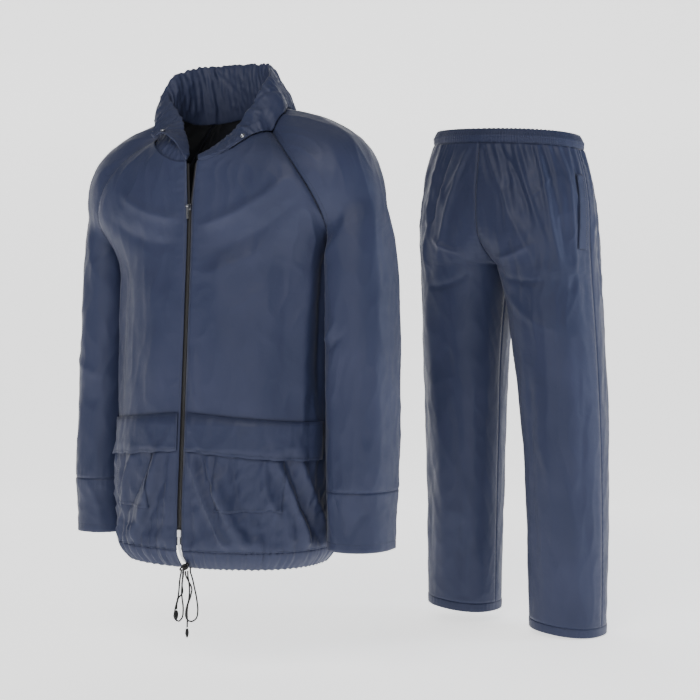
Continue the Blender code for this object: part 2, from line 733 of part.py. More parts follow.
def laid_on(front, columns, bottom, top, clear, flare):
    """A patch over some columns of the front, from its own points, moved out."""
    first, last = columns
    sides = front[0, first : last + 1, 0]
    lowest_in = max(bottom(x) for x in sides) + LEAST_ROW
    highest_in = min(top(x) for x in sides) - LEAST_ROW
    inside = [z for z in front[:BODY_ROWS, first, 2] if lowest_in < z < highest_in]
    made = []
    for j in range(first, last + 1):
        strip = front[:BODY_ROWS, j]
        low, high = bottom(strip[0, 0]), top(strip[0, 0])
        beside = front[:BODY_ROWS, min(j + 1, FRONT_STEPS)] - front[:BODY_ROWS, max(j - 1, 0)]
        line = []
        for z in (low, *inside, high):
            point = np.array([np.interp(z, strip[:, 2], strip[:, k]) for k in range(3)])
            across = np.array([np.interp(z, strip[:, 2], beside[:, k]) for k in range(3)])
            across[2] = 0
            across /= np.linalg.norm(across)
            out = np.array([across[1], -across[0], 0])
            share = (high - z) / (high - low)
            belly = math.sin(math.pi * (j - first + 1) / (last - first + 2))
            inset = FLAP_INSET if j == 0 else 0.0
            line.append(point + out * (clear + flare * share * belly) + across * inset)
        made.append(line)
    return np.transpose(np.array(made), (1, 0, 2))


def strip_wall(name, left, right, thickness, finish, parent):
    """A narrow flat strip between two edges, its thickness taken backwards."""
    grid = np.stack([left, right], axis=1)
    piece = Piece(name, grid, (0.0, 0.3), finish, thickness)
    return add_piece(piece, parent)


def centre_line(z, back=0.0):
    """The front's surface on the middle line, set back by some depth."""
    z = np.atleast_1d(np.asarray(z, float))
    y = np.where(
        z <= UNDERARM,
        -column(BODY, "z", "front", z),
        np.interp(z, [row.z for row in CENTRE_FRONT], [row.y for row in CENTRE_FRONT]),
    )
    return np.stack([np.zeros_like(z), y + back, z], axis=-1)


def build_zip(parent, finishes):
    heights = np.linspace(ZIP_BOTTOM + TAPE_SHORT, NECK_FRONT - TAPE_SHORT, 20)
    middle = centre_line(heights, CLOTH + SEAM_GAP + ZIP_BACK)
    edge = zip_edge(heights) - ZIP_SLOT + TAPE_INNER
    for side, name in ((1, "left"), (-1, "right")):
        inner = middle + np.outer(edge * side, (1, 0, 0))
        outer = middle + np.outer((edge + TAPE_OUTER - TAPE_INNER) * side, (1, 0, 0))
        outer[:, 1] += TAPE_CURVE
        first, second = (inner, outer) if side > 0 else (outer, inner)
        strip_wall("jacket_zip_tape_" + name, first, second, TAPE_THICK, finishes["tape"], parent)
    heights = np.linspace(ZIP_BOTTOM + CHAIN_GAP, SLIDER_TOP - SLIDER_HEIGHT + CHAIN_HIDDEN, 20)
    face = centre_line(heights, ZIP_BACK)
    aside = np.array([CHAIN_HALF, 0, 0])
    strip_wall("jacket_zip_teeth", face - aside, face + aside, CHAIN_THICK, finishes["teeth"], parent)


def box_mesh(low, high):
    corners = [np.where(pick, high, low) for pick in np.ndindex(2, 2, 2)]
    faces = [(0, 1, 3, 2), (4, 6, 7, 5), (0, 4, 5, 1), (2, 3, 7, 6), (0, 2, 6, 4), (1, 5, 7, 3)]
    return np.array(corners), faces


def add_box(name, low, high, finish, parent, bevel=0.0):
    points, faces = box_mesh(low, high)
    made = add_mesh(name, points, faces, finish, parent)
    if bevel:
        model = bmesh.new()
        model.from_mesh(made.data)
        bmesh.ops.dissolve_limit(model, angle_limit=0.01, verts=model.verts, edges=model.edges)
        bmesh.ops.bevel(
            model, geom=model.edges[:], offset=bevel, segments=1, affect="EDGES", clamp_overlap=True
        )
        model.to_mesh(made.data)
        model.free()
    return made


def rod(name, centre, radius, half_length, finish, parent, sides=12):
    """A short round bar along X."""
    model = bmesh.new()
    turn = Matrix.Rotation(math.pi / 2, 4, "Y")
    bmesh.ops.create_cone(
        model,
        cap_ends=True,
        segments=sides,
        radius1=radius,
        radius2=radius,
        depth=2 * half_length,
        matrix=Matrix.Translation(centre) @ turn,
    )
    mesh = bpy.data.meshes.new(name)
    model.to_mesh(mesh)
    model.free()
    mesh.materials.append(finish)
    made = bpy.data.objects.new(name, mesh)
    bpy.context.scene.collection.objects.link(made)
    made.parent = parent
    return made


def combine(target, other, operation):
    """A Boolean with a helper that stays out of the model."""
    change = target.modifiers.new(other.name, "BOOLEAN")
    change.operation = operation
    change.object = other
    other.hide_render = True
    other.display_type = "WIRE"


def build_slider(parent, finishes):
    """Slider with two cheeks and a pin, and the pull tab that swings on the pin."""
    metal = finishes["metal"]
    face = centre_line(SLIDER_TOP - SLIDER_HEIGHT / 2)[0, 1] - ZIP_BACK
    body = add_box(
        "jacket_zip_slider",
        (-SLIDER_HALF, face - SLIDER_THICK, SLIDER_TOP - SLIDER_HEIGHT),
        (SLIDER_HALF, face, SLIDER_TOP),
        metal,
        parent,
        SLIDER_EDGE,
    )
    pin = (0.0, face - PIN_OUT, SLIDER_TOP - PIN_DOWN)
    for side in (-1, 1):
        inside = (PULL_HALF + CHEEK_GAP) * side
        outside = inside + CHEEK_THICK * side
        low = (min(inside, outside), pin[1] - CHEEK_OUT, pin[2] - CHEEK_HALF)
        high = (max(inside, outside), face - SLIDER_THICK + CHEEK_SUNK, pin[2] + CHEEK_HALF)
        combine(body, add_box("cheek_%d" % side, low, high, metal, parent), "UNION")
    bar = rod("pin", pin, PIN_RADIUS, PULL_HALF + CHEEK_GAP + CHEEK_THICK / 2, metal, parent)
    combine(body, bar, "UNION")

    hinge = bpy.data.objects.new("jacket_zip_pull_axis", None)
    hinge.location = pin
    hinge.parent = parent
    bpy.context.scene.collection.objects.link(hinge)
    tab = add_box(
        "jacket_zip_pull",
        (-PULL_HALF, -PULL_THICK / 2, -PULL_LENGTH),
        (PULL_HALF, PULL_THICK / 2, -PULL_TOP),
        metal,
        hinge,
    )
    eye = rod("eye", (0, 0, 0), EYE_RADIUS, PULL_HALF - EYE_INSET, metal, hinge, 16)
    hole = rod("eye_hole", (0, 0, 0), PIN_RADIUS + PIN_PLAY, 3 * PULL_HALF, metal, hinge, 16)
    combine(tab, eye, "UNION")
    combine(tab, hole, "DIFFERENCE")


def build_zip_end(parent, finishes):
    """White box at the foot of the teeth and the loose curved tape below it."""
    white = finishes["white"]
    y = float(centre_line(ZIP_BOTTOM)[0, 1])
    add_box(
        "jacket_zip_box",
        (-ZIP_BOX_HALF, y - ZIP_BOX_FRONT, ZIP_BOTTOM - ZIP_BOX_HEIGHT),
        (ZIP_BOX_HALF, y + ZIP_BOX_BACK, ZIP_BOTTOM),
        white,
        parent,
        SLIDER_EDGE,
    )
    heights = np.linspace(ZIP_BOTTOM - ZIP_BOX_HEIGHT - SEAM_GAP, TAPE_END_BOTTOM, 8)
    down = (heights[0] - heights) / (heights[0] - heights[-1])
    face = centre_line(heights)
    face[:, 0] = TAPE_END_DRIFT * down**TAPE_END_CURVE
    face[:, 1] -= TAPE_END_OUT + TAPE_END_LIFT * down
    aside = np.array([TAPE_END_HALF, 0, 0])
    strip_wall("jacket_zip_tape_end", face - aside, face + aside, TAPE_THICK, white, parent)


def neck_seam(front, sleeve, back):
    """The left half of the neck seam, from the zip over the sleeve to the middle of the back."""
    half = back[-1, BACK_STEPS // 2 :][::-1]
    line = np.concatenate([front[-1], sleeve[-1][1:], half[1:]])
    step = np.linalg.norm(np.diff(line, axis=0), axis=1)
    return np.concatenate([[0], np.cumsum(step)]) / step.sum(), line


def cloth_below(pieces):
    """A lookup for the height of the jacket's outer face under a point."""
    points = np.concatenate([piece.points for piece in pieces]).tolist()
    faces = []
    start = 0
    for piece in pieces:
        faces += [[k + start for k in face] for face in piece.faces]
        start += len(piece.points)
    return BVHTree.FromPolygons(points, faces)


def rest_on(cloth, point, side):
    """Lifts a point of the collar to just above the cloth under it."""
    hit, normal = cloth.ray_cast((point[0] * side, point[1], 0.3), (0, 0, -1))[:2]
    if hit is None:
        return point
    clear = COLLAR_CLEAR / max(STEEPEST, abs(normal.z))
    return np.array([point[0], point[1], max(point[2], hit.z + clear)])


def collar_section(row, seam_at, side, cloth):
    """A closed outline: outer face from the low edge up, over the fold, down inside, and below."""
    seat = seam_at * (COLLAR_INSET, COLLAR_INSET, 1) + (0, 0, COLLAR_SEAT)
    away = seat * (1, 1, 0) / np.linalg.norm(seat[:2])
    low = np.array([row.low_x, row.low_y, row.low_z])
    low = low + away * max(0.0, COLLAR_FOOT - (low - seat) @ away)
    low = rest_on(cloth, low, side)
    top = np.array([row.top_x, row.top_y, row.top_z])
    rise = top - low
    up = rise / np.linalg.norm(rise)
    round_neck = np.array([-row.low_y, row.low_x, 0.0])
    out = np.cross(round_neck, up)
    out /= np.linalg.norm(out)
    outline = [low]
    for share, swell in ((0.28, 0.85), (0.58, 1.0), (0.84, 0.75)):
        outline.append(low + rise * share + out * row.puff * swell)
    outline.append(top + out * row.puff * 0.15)
    down = seat - top
    for share, swell in ((0.12, 0.55), (0.42, 0.75), (0.75, 0.45)):
        outline.append(top + down * share - out * row.puff * swell)
    outline.append(seat)
    for share in (0.25, 0.5, 0.75):
        under = seat + (low - seat) * share
        hollow = row.hollow * math.sin(math.pi * share)
        outline.append(rest_on(cloth, under * (1 - hollow) + top * hollow, side))
    return np.array(outline) * (side, 1, 1)


def collar_outline(table, side, s, seam, cloth):
    share, line = seam
    row = Collar(*[float(column(table, "s", name, s)) for name in Collar._fields])
    along = COLLAR_START + (1 - COLLAR_START) * s
    seam_at = np.array([np.interp(along, share, line[:, axis]) for axis in range(3)])
    return collar_section(row, seam_at, side, cloth)


def build_collar(seam, cloth, finish, parent):
    order = [(COLLAR_LEFT, 1, k) for k in range(COLLAR_STATIONS + 1)]
    order += [(COLLAR_RIGHT, -1, k) for k in range(COLLAR_STATIONS - 1, -1, -1)]
    outlines = [collar_outline(table, side, k / COLLAR_STATIONS, seam, cloth) for table, side, k in order]
    count = len(outlines[0])
    faces = []
    for i in range(len(outlines) - 1):
        for j in range(count):
            a, b = i * count + j, i * count + (j + 1) % count
            faces.append([a, b, b + count, a + count])
    last = (len(outlines) - 1) * count
    faces.append(list(range(count))[::-1])
    faces.append([last + j for j in range(count)])
    add_mesh("jacket_collar", np.concatenate(outlines), faces, finish, parent)


def add_stud(name, at, facing, finish, parent):
    """A small round press stud."""
    model = bmesh.new()
    turn = Vector((0, 0, 1)).rotation_difference(Vector(facing)).to_matrix().to_4x4()
    bmesh.ops.create_cone(
        model,
        cap_ends=True,
        segments=12,
        radius1=STUD_RADIUS,
        radius2=STUD_RADIUS * 0.8,
        depth=STUD_THICK,
        matrix=Matrix.Translation(at) @ turn,
    )
    mesh = bpy.data.meshes.new(name)
    model.to_mesh(mesh)
    model.free()
    mesh.materials.append(finish)
    made = bpy.data.objects.new(name, mesh)
    bpy.context.scene.collection.objects.link(made)
    made.parent = parent


def under_knot(turned, at):
    """The height just under the knot where a cord's flat end meets it."""
    local = turned.inverted() @ Vector((at.x, at.y, 0))
    lowest = 1.0
    for side_x, side_y in ((0, 0), (1, 0), (-1, 0), (0, 1), (0, -1)):
        share_x = (local.x - KNOT[0] + side_x * CORD / 2) / KNOT_RADII[0]
        share_y = (local.y - KNOT[1] + side_y * CORD / 2) / KNOT_RADII[1]
        drop = math.sqrt(max(0.0, 1 - share_x**2 - share_y**2)) * KNOT_RADII[2]
        lowest = min(lowest, KNOT[2] - drop - SEAM_GAP)
    return Point(at.x, at.y, lowest)


def build_studs(seam, cloth, finish, parent):
    """The collar's press studs, near its lower edge on both fronts."""
    places = (("left", COLLAR_LEFT, 1, STUD_LEFT), ("right", COLLAR_RIGHT, -1, STUD_RIGHT))
    for name, table, side, s in places:
        outline = collar_outline(table, side, s, seam, cloth)
        beside = collar_outline(table, side, s + 0.01, seam, cloth)
        facing = np.cross(beside[1] - outline[1], outline[2] - outline[0]) * side
        facing /= np.linalg.norm(facing)
        at = (outline[0] + outline[1]) / 2 + facing * STUD_OUT
        add_stud("jacket_stud_" + name, at, facing, finish, parent)


def smooth_route(points, count):
    """Even points on a smooth curve through a cord's route."""
    rows = np.array(points)
    step = np.concatenate([[0], np.cumsum(np.linalg.norm(np.diff(rows, axis=0), axis=1))])
    Row = namedtuple("Row", "s x y z")
    table = [Row(s, *row) for s, row in zip(step, rows)]
    at = np.linspace(0, step[-1], count)
    return np.stack([column(table, "s", axis, at) for axis in "xyz"], axis=-1)


def add_cord(name, route, points, finish):
    curve = bpy.data.curves.new(name, "CURVE")
    curve.dimensions = "3D"
    curve.bevel_depth = CORD / 2
    curve.bevel_resolution = 2
    curve.use_fill_caps = True
    line = curve.splines.new("POLY")
    points = smooth_route(route, points)
    line.points.add(len(points) - 1)
    for spot, point in zip(line.points, points):
        spot.co = (*point, 1.0)
    curve.materials.append(finish)
    made = bpy.data.objects.new(name, curve)
    bpy.context.scene.collection.objects.link(made)
    return points


def add_bead(name, at, radii, finish, turn=0.0):
    """A rounded knot or cord end."""
    model = bmesh.new()
    shape = Matrix.Translation(at) @ Matrix.Rotation(turn, 4, "Z") @ Matrix.Diagonal((*radii, 1.0))
    bmesh.ops.create_uvsphere(model, u_segments=10, v_segments=7, radius=1.0, matrix=shape)
    mesh = bpy.data.meshes.new(name)
    model.to_mesh(mesh)
    model.free()
    mesh.materials.append(finish)
    mesh.shade_smooth()
    made = bpy.data.objects.new(name, mesh)
    bpy.context.scene.collection.objects.link(made)


def build_jacket(finishes):
    frame = place("jacket_frame", JACKET_TURN, (0, 0, 0))
    navy = finishes["navy"]
    front = front_grid()
    back = back_grid()
    sleeve = sleeve_grid(SLEEVE_LEFT, 0.0)
    pieces = [
        Piece("jacket_front_left", front, (0, 0), navy, level=(0,)),
        Piece("jacket_front_right", mirrored(front), (0, 0), navy, level=(0,)),
        Piece("jacket_back", back, (0, 0), navy, level=(0,)),
        Piece("jacket_hem_band", hem_grid(), (0, 0), navy, level=(-1,)),
        Piece("jacket_sleeve_left", sleeve, (0.26, 0), navy, level=(0,)),
        Piece("jacket_cuff_left", cuff_grid(SLEEVE_LEFT), (0.278, 0), navy, level=(0, -1)),
    ]
    right = mirrored(sleeve_grid(SLEEVE_RIGHT, RIGHT_PULL))
    pieces.append(Piece("jacket_sleeve_right", right, (-0.26, 0), navy, level=(0,)))
    right = mirrored(cuff_grid(SLEEVE_RIGHT))
    pieces.append(Piece("jacket_cuff_right", right, (-0.278, 0), navy, level=(0, -1)))
    underarm = np.array([0.2105, 0.0, UNDERARM])
    sew(pieces, [underarm, underarm * (-1, 1, 1)])
    for piece in pieces:
        add_piece(piece, frame)
    flap = laid_on(front, (FLAP_FROM, FLAP_TO), flap_bottom, flap_top, FLAP_CLEAR, FLAP_FLARE)
    bag = laid_on(front, (BAG_FROM, BAG_TO), bag_bottom, bag_top, BAG_CLEAR, 0.0)
    for name, grid in (("flap", flap), ("pocket", bag)):
        for side, made in (("left", grid), ("right", mirrored(grid))):
            add_piece(Piece("jacket_%s_%s" % (name, side), made, (0, 0), navy, LAID_THICK), frame)
    seam = neck_seam(front, sleeve, back)
    cloth = cloth_below([piece for piece in pieces if "cuff" not in piece.name])
    build_collar(seam, cloth, navy, frame)
    build_studs(seam, cloth, finishes["metal"], frame)
    build_zip(frame, finishes)
    build_slider(frame, finishes)
    build_zip_end(frame, finishes)


def build_trousers(finishes):
    frame = place("trousers_frame", TROUSERS_TURN, TROUSERS_PLACE)
    navy = finishes["navy"]
    pieces = []
    for face in ("front", "back"):
        grid = leg_grid(face)
        for side, made in (("left", grid), ("right", mirrored(grid))):
            axis = (0.06 if side == "left" else -0.06, 0)
            pieces.append(Piece("trousers_%s_%s" % (face, side), made, axis, navy, level=(0, -1)))
    hem = leg_hem_grid()
    pieces.append(Piece("trousers_hem_left", hem, (0.1225, 0), navy, level=(0, -1)))
    pieces.append(Piece("trousers_hem_right", mirrored(hem), (-0.1225, 0), navy, level=(0, -1)))
    pieces.append(Piece("trousers_waistband", waistband_grid(), (0, 0), navy, level=(0, -1)))
    crotch = np.array([0.0, 0.0, -0.250])
    sew(pieces, [crotch])
    welt = leg_welt_grid()
    pieces.append(Piece("trousers_welt_left", welt, (0.06, 0), navy, WELT_THICK))
    pieces.append(Piece("trousers_welt_right", mirrored(welt), (-0.06, 0), navy, WELT_THICK))
    for piece in pieces:
        add_piece(piece, frame, TROUSERS_LEAN)


def build_drawcord(finishes):
    black = finishes["black"]
    turned = Matrix.Rotation(JACKET_TURN, 4, "Z")
    for name, route, looped in (
        ("left", CORD_LEFT, True),
        ("right", CORD_RIGHT, True),
        ("tail_left", CORD_TAIL_LEFT, False),
        ("tail_right", CORD_TAIL, False),
    ):
        line = [under_knot(turned, route[0]), *route]
        if looped:
            line.append(under_knot(turned, route[-1]))
            add_cord("jacket_drawcord_" + name, line, LOOP_POINTS, black)
            continue
        add_cord("jacket_drawcord_" + name, line, TAIL_POINTS, black)
        foot = route[-1]
        end = (foot.x, foot.y, foot.z - CORD_END_RADII[2] - END_GAP)
        add_bead("jacket_drawcord_end_" + name[5:], end, CORD_END_RADII, black)
    add_bead("jacket_drawcord_knot", turned @ Vector(KNOT), KNOT_RADII, black, JACKET_TURN)


def main():
    clear_scene()
    finishes = {
        "navy": material("navy_coated_nylon", NAVY, 0.45),
        "tape": material("woven_tape", NAVY_DARK, 0.7),
        "teeth": material("black_nylon_teeth", BLACK, 0.45),
        "black": material("black_braid", BLACK, 0.75),
        "white": material("white_plastic", WHITE, 0.4),
        "metal": material("plated_metal", METAL, 0.35, 1.0),
    }
    build_jacket(finishes)
    build_trousers(finishes)
    build_drawcord(finishes)


main()
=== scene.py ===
# Looks of the rain suit: cloth with its folds, seams and gathers, the zip, the drawcord and their finishes.
# Metres, +Z up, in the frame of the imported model. Each garment is shaped in its own frame,
# front to -Y and the wearer's left to +X, and then turned into place.
import math
from collections import namedtuple

import bmesh
import bpy
import numpy as np
from mathutils import Matrix, Vector
from mathutils.bvhtree import BVHTree


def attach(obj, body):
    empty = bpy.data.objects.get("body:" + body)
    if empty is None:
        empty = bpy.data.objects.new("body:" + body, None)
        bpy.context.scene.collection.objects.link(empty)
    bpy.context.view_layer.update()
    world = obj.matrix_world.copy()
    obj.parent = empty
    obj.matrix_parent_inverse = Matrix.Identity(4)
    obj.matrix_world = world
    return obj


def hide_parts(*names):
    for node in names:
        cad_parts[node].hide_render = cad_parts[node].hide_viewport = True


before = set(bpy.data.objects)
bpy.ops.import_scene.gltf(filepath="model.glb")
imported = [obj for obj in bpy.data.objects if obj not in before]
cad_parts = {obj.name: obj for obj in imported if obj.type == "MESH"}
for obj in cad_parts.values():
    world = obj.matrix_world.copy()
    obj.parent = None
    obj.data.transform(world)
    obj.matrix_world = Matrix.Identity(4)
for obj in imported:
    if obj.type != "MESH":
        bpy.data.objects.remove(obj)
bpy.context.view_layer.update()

# Camera, level and square to the photo
CAMERA_AT = (0.222, -2.4, -0.42)
CAMERA_LENS = 67.82
FLOOR_Z = -0.990  # just under the trousers' hems

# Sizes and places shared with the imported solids, in metres where nothing else is said
CLOTH = 0.0014  # wall of the solids
SEAM_GAP = 0.0003  # between pieces that are sewn together
NECK_DIP = 2.0  # how late the neck seam rises from the zip to the shoulder
ROUND = 0.88  # power of sine and cosine in a section, under 1 is fuller than an ellipse
JACKET_TURN = math.radians(-28)
TROUSERS_TURN = math.radians(-38)
TROUSERS_PLACE = (0.565, 0.343, 0.0)
TROUSERS_LEAN = 0.0875  # how far the wearer's left side hangs lower, for each metre to the left
HEM_BOTTOM = -0.797
HEM_SEAM = -0.764
UNDERARM = -0.235
NECK_FRONT = -0.090
ZIP_BOTTOM = -0.729
SLIDER_TOP = -0.166
CUFF_SEAM = -0.660
CUFF_BOTTOM = -0.761
ZIP_SLOT = 0.0045  # half the slot between the fronts
ZIP_OPEN = 0.011  # half the slot at the neck, above the slider
WAIST_TOP = 0.028
WAIST_SEAM = -0.002
LEG_BOTTOM = -0.971
WAIST_HALF_WIDTH = 0.1635
WAIST_HALF_DEPTH = 0.109
WAIST_BULGE = ((WAIST_SEAM, 0.0), (0.013, 0.001), (WAIST_TOP, -0.006))  # height and swell
HEM_SLOT = 0.0026  # of a turn, half the gap at the zip
CROTCH_STEP = 0.37  # where a leg closes, as a share from waist to hem
COLLAR_SEAT = -0.0035  # the collar's foot is sewn into the neck seam
COLLAR_INSET = 0.985  # how far in its foot sits, as a share of the seam's distance
COLLAR_START = 0.01  # of the neck seam, left free at the zip
COLLAR_CLEAR = 0.0035  # above the cloth that it rests on
COLLAR_FOOT = 0.0060  # least thickness at its foot
STEEPEST = 0.35  # least slope used where the collar rests on steep cloth
FLAP_TOP_CENTRE = -0.527
FLAP_TOP_SIDE = -0.543
FLAP_HEIGHT = 0.066
FLAP_INSET = 0.004  # the flap and the bag stop this far short of a column
FLAP_CLEAR = 0.0034  # the flap's face stands this far off the front
FLAP_FLARE = 0.0030  # and its lower edge this much more
BAG_CLEAR = 0.0013
BAG_TOP = -0.548
BAG_BOTTOM = -0.695
LEAST_ROW = 0.004  # a row of the front nearer than this to an edge is left out
WELT_STEPS = (0.075, 0.265)  # shares of the leg's length
WELT_TURNS = (-0.145, -0.055)  # shares of half a turn round the leg
WELT_CLEAR = 0.0034
ZIP_BACK = 0.0002  # the teeth and the slider's back, behind the cloth's face
TAPE_INNER = 0.0006
TAPE_OUTER = 0.0120
TAPE_THICK = 0.0009
TAPE_SHORT = 0.004
TAPE_CURVE = 0.0011
CHAIN_HALF = 0.0026
CHAIN_GAP = 0.0006
SLIDER_HEIGHT = 0.011
ZIP_BOX_HEIGHT = 0.0125
TAPE_END_BOTTOM = -0.784
TAPE_END_HALF = 0.0022
TAPE_END_OUT = 0.0004
TAPE_END_CURVE = 1.6
TAPE_END_DRIFT = 0.0080
TAPE_END_LIFT = 0.0038
STUD_RADIUS = 0.0042
STUD_THICK = 0.0016
STUD_OUT = 0.0020
STUD_LEFT = 0.24  # places along the collar
STUD_RIGHT = 0.17
CORD = 0.0028
KNOT = (0.0094, -0.1500, -0.7925)
KNOT_RADII = (0.0098, 0.0056, 0.0068)
CORD_END_RADII = (0.0034, 0.0034, 0.0088)
END_GAP = 0.0007
CAP_DEPTH = 0.074  # half the sleeve's depth at the underarm
RIGHT_PULL = 0.060  # how much flatter the right shoulder lies

# Steps of the grids that the cloth is made on, about 5 mm of cloth each
BODY_ROWS = 108
CAP_ROWS = 56
FRONT_STEPS = 72
BACK_STEPS = 120
SLEEVE_STEPS = 104
SLEEVE_ROWS = 84
CUFF_ROWS = 24
LEG_STEPS = 72
LEG_UPPER_ROWS = 72
LEG_LOWER_ROWS = 136
HEM_STEPS = 520
HEM_ROWS = 12
WAIST_RIBS = 176  # the elastic's small upright ribs
WAIST_STEPS = WAIST_RIBS * 6
WAIST_ROWS = 24
COLLAR_STATIONS = 110
COLLAR_ROUND = 72
FLAP_FROM = 0  # columns of the front's grid that the flap and the bag cover
FLAP_TO = 66
BAG_FROM = 12
BAG_TO = 43
SHELL = 0.0006  # wall of the cloth, drawn thicker than its real 0.2 mm so that edges show
STITCH = 0.0026  # length of one stitch
STITCH_PITCH = 0.0036
STITCH_WIDE = 0.0006
STITCH_LIFT = 0.0003
TOOTH_PITCH = 0.0021
EDGE_FADE = 0.016  # folds sink to nothing this near a seam, so that the pieces still meet
END_FADE = 0.008  # and gathers this near an end
CAP_START = UNDERARM - 0.02  # puckers beside the raglan seam begin here
UNDERARM_REACH = 0.035  # rows this near the underarm are smoothed together
UNDERARM_ROUNDS = 90
SLEEVE_MIDDLE = 0.26  # upright lines inside the tubes, which the cloth faces away from
CUFF_MIDDLE = 0.278
LEG_MIDDLE = 0.06
LEG_HEM_MIDDLE = 0.1225
GROOVE = 0.014  # height of the sewn line above a cuff's edge
FRONT_GAIN = 1.8  # the creases of the fronts stand higher than their table says
SHAPE_ROWS = 9  # rows across narrow pieces
BODY_RADIUS = 0.185  # mean radius of the jacket, for distances round it
HEM_SEED = 3  # one seed for all the pieces that meet the hem band, so that their gathers match

# Studio: a cove that curves up from the floor, in metres
COVE_FRONT = -9.0
COVE_BACK = 2.4
COVE_BEND = 1.8
COVE_TOP = 3.6
COVE_HALF_WIDTH = 7.0
COVE_GLOW = 1.35
SURROUND = 0.10
SUIT_MIDDLE = (0.22, 0.1, -0.4)

Body = namedtuple("Body", "z half_width front back")
BODY = (
    Body(-0.797, 0.186, 0.134, 0.136),
    Body(-0.775, 0.201, 0.149, 0.149),
    Body(-0.720, 0.207, 0.152, 0.152),
    Body(-0.600, 0.210, 0.146, 0.148),
    Body(-0.450, 0.211, 0.137, 0.142),
    Body(-0.300, 0.211, 0.128, 0.138),
    Body(-0.235, 0.2105, 0.124, 0.135),
)
Seam = namedtuple("Seam", "t x y z")
RAGLAN_FRONT = (
    Seam(0.0, 0.2105, 0.000, -0.235),
    Seam(0.2, 0.2340, -0.055, -0.208),
    Seam(0.4, 0.2240, -0.084, -0.160),
    Seam(0.6, 0.1960, -0.094, -0.112),
    Seam(0.8, 0.1570, -0.078, -0.068),
    Seam(1.0, 0.1160, -0.042, -0.035),
)
RAGLAN_BACK = (
    Seam(0.0, 0.2105, 0.000, -0.235),
    Seam(0.2, 0.2340, 0.058, -0.203),
    Seam(0.4, 0.2220, 0.094, -0.152),
    Seam(0.6, 0.1900, 0.110, -0.098),
    Seam(0.8, 0.1450, 0.106, -0.044),
    Seam(1.0, 0.0780, 0.074, 0.011),
)
SHOULDER = (
    Seam(0.0, 0.3260, 0.000, -0.235),
    Seam(0.2, 0.3150, 0.000, -0.178),
    Seam(0.4, 0.3020, 0.000, -0.117),
    Seam(0.6, 0.2680, 0.003, -0.056),
    Seam(0.8, 0.1990, 0.008, -0.013),
    Seam(1.0, 0.1120, 0.012, 0.012),
)
CENTRE_FRONT = (
    Seam(0.0, 0.0, -0.124, -0.235),
    Seam(0.5, 0.0, -0.121, -0.160),
    Seam(1.0, 0.0, -0.115, -0.090),
)
CENTRE_BACK = (
    Seam(0.0, 0.0, 0.135, -0.235),
    Seam(0.4, 0.0, 0.132, -0.130),
    Seam(0.75, 0.0, 0.116, -0.040),
    Seam(1.0, 0.0, 0.096, 0.020),
)
Tube = namedtuple("Tube", "z centre half_width half_depth back")
SLEEVE_LEFT = (
    Tube(-0.761, 0.2750, 0.0535, 0.0670, 0.000),
    Tube(-0.700, 0.2755, 0.0545, 0.0690, 0.000),
    Tube(-0.660, 0.2765, 0.0560, 0.0720, 0.000),
    Tube(-0.500, 0.2765, 0.0570, 0.0740, 0.000),
    Tube(-0.320, 0.2745, 0.0565, 0.0750, 0.000),
    Tube(-0.262, 0.2720, 0.0550, 0.0750, 0.000),
    Tube(-0.235, 0.26825, 0.05775, 0.0740, 0.000),
)
SLEEVE_RIGHT = (
    Tube(-0.761, 0.2750, 0.0530, 0.0670, 0.010),
    Tube(-0.700, 0.2750, 0.0535, 0.0690, 0.010),
    Tube(-0.660, 0.2750, 0.0540, 0.0720, 0.011),
    Tube(-0.500, 0.2740, 0.0540, 0.0720, 0.021),
    Tube(-0.320, 0.2720, 0.0540, 0.0730, 0.032),
    Tube(-0.262, 0.2700, 0.0530, 0.0730, 0.033),
    Tube(-0.235, 0.26675, 0.05625, 0.0740, 0.031),
)
Leg = namedtuple("Leg", "step seam_x seam_half_depth seam_z side_x side_z half_depth")
LEGS = (
    Leg(0.00, 0.0000, 0.110, -0.002, 0.1645, -0.002, 0.110),
    Leg(0.08, 0.0000, 0.121, -0.060, 0.1800, -0.060, 0.121),
    Leg(0.16, 0.0000, 0.129, -0.125, 0.1870, -0.125, 0.130),
    Leg(0.22, 0.0000, 0.126, -0.175, 0.1875, -0.175, 0.132),
    Leg(0.28, 0.0000, 0.103, -0.212, 0.1880, -0.215, 0.129),
    Leg(0.33, 0.0000, 0.058, -0.238, 0.1890, -0.245, 0.124),
    Leg(0.37, 0.0000, 0.000, -0.250, 0.1900, -0.268, 0.119),
    Leg(0.42, 0.0100, 0.000, -0.292, 0.1920, -0.300, 0.112),
    Leg(0.52, 0.0240, 0.000, -0.400, 0.1970, -0.400, 0.101),
    Leg(0.70, 0.0390, 0.000, -0.600, 0.1990, -0.600, 0.089),
    Leg(0.86, 0.0460, 0.000, -0.800, 0.2000, -0.800, 0.080),
    Leg(1.00, 0.0485, 0.000, -0.953, 0.1985, -0.953, 0.076),
)
Sway = namedtuple("Sway", "z shift")
SWAY = (
    Sway(-0.975, 0.0000),
    Sway(-0.750, 0.0000),
    Sway(-0.580, -0.0020),
    Sway(-0.420, -0.0085),
    Sway(-0.250, -0.0124),
    Sway(-0.150, -0.0145),
    Sway(0.040, -0.0185),
)
Fold = namedtuple("Fold", "x0 z0 x1 z1 width height")
FRONT_FOLDS = (
    Fold(0.020, -0.600, 0.085, -0.770, 0.011, -0.0050),
    Fold(0.045, -0.600, 0.120, -0.765, 0.013, 0.0055),
    Fold(0.110, -0.620, 0.165, -0.765, 0.012, -0.0045),
    Fold(0.150, -0.610, 0.190, -0.750, 0.012, 0.0040),
)
Collar = namedtuple("Collar", "s low_x low_y low_z top_x top_y top_z puff hollow")
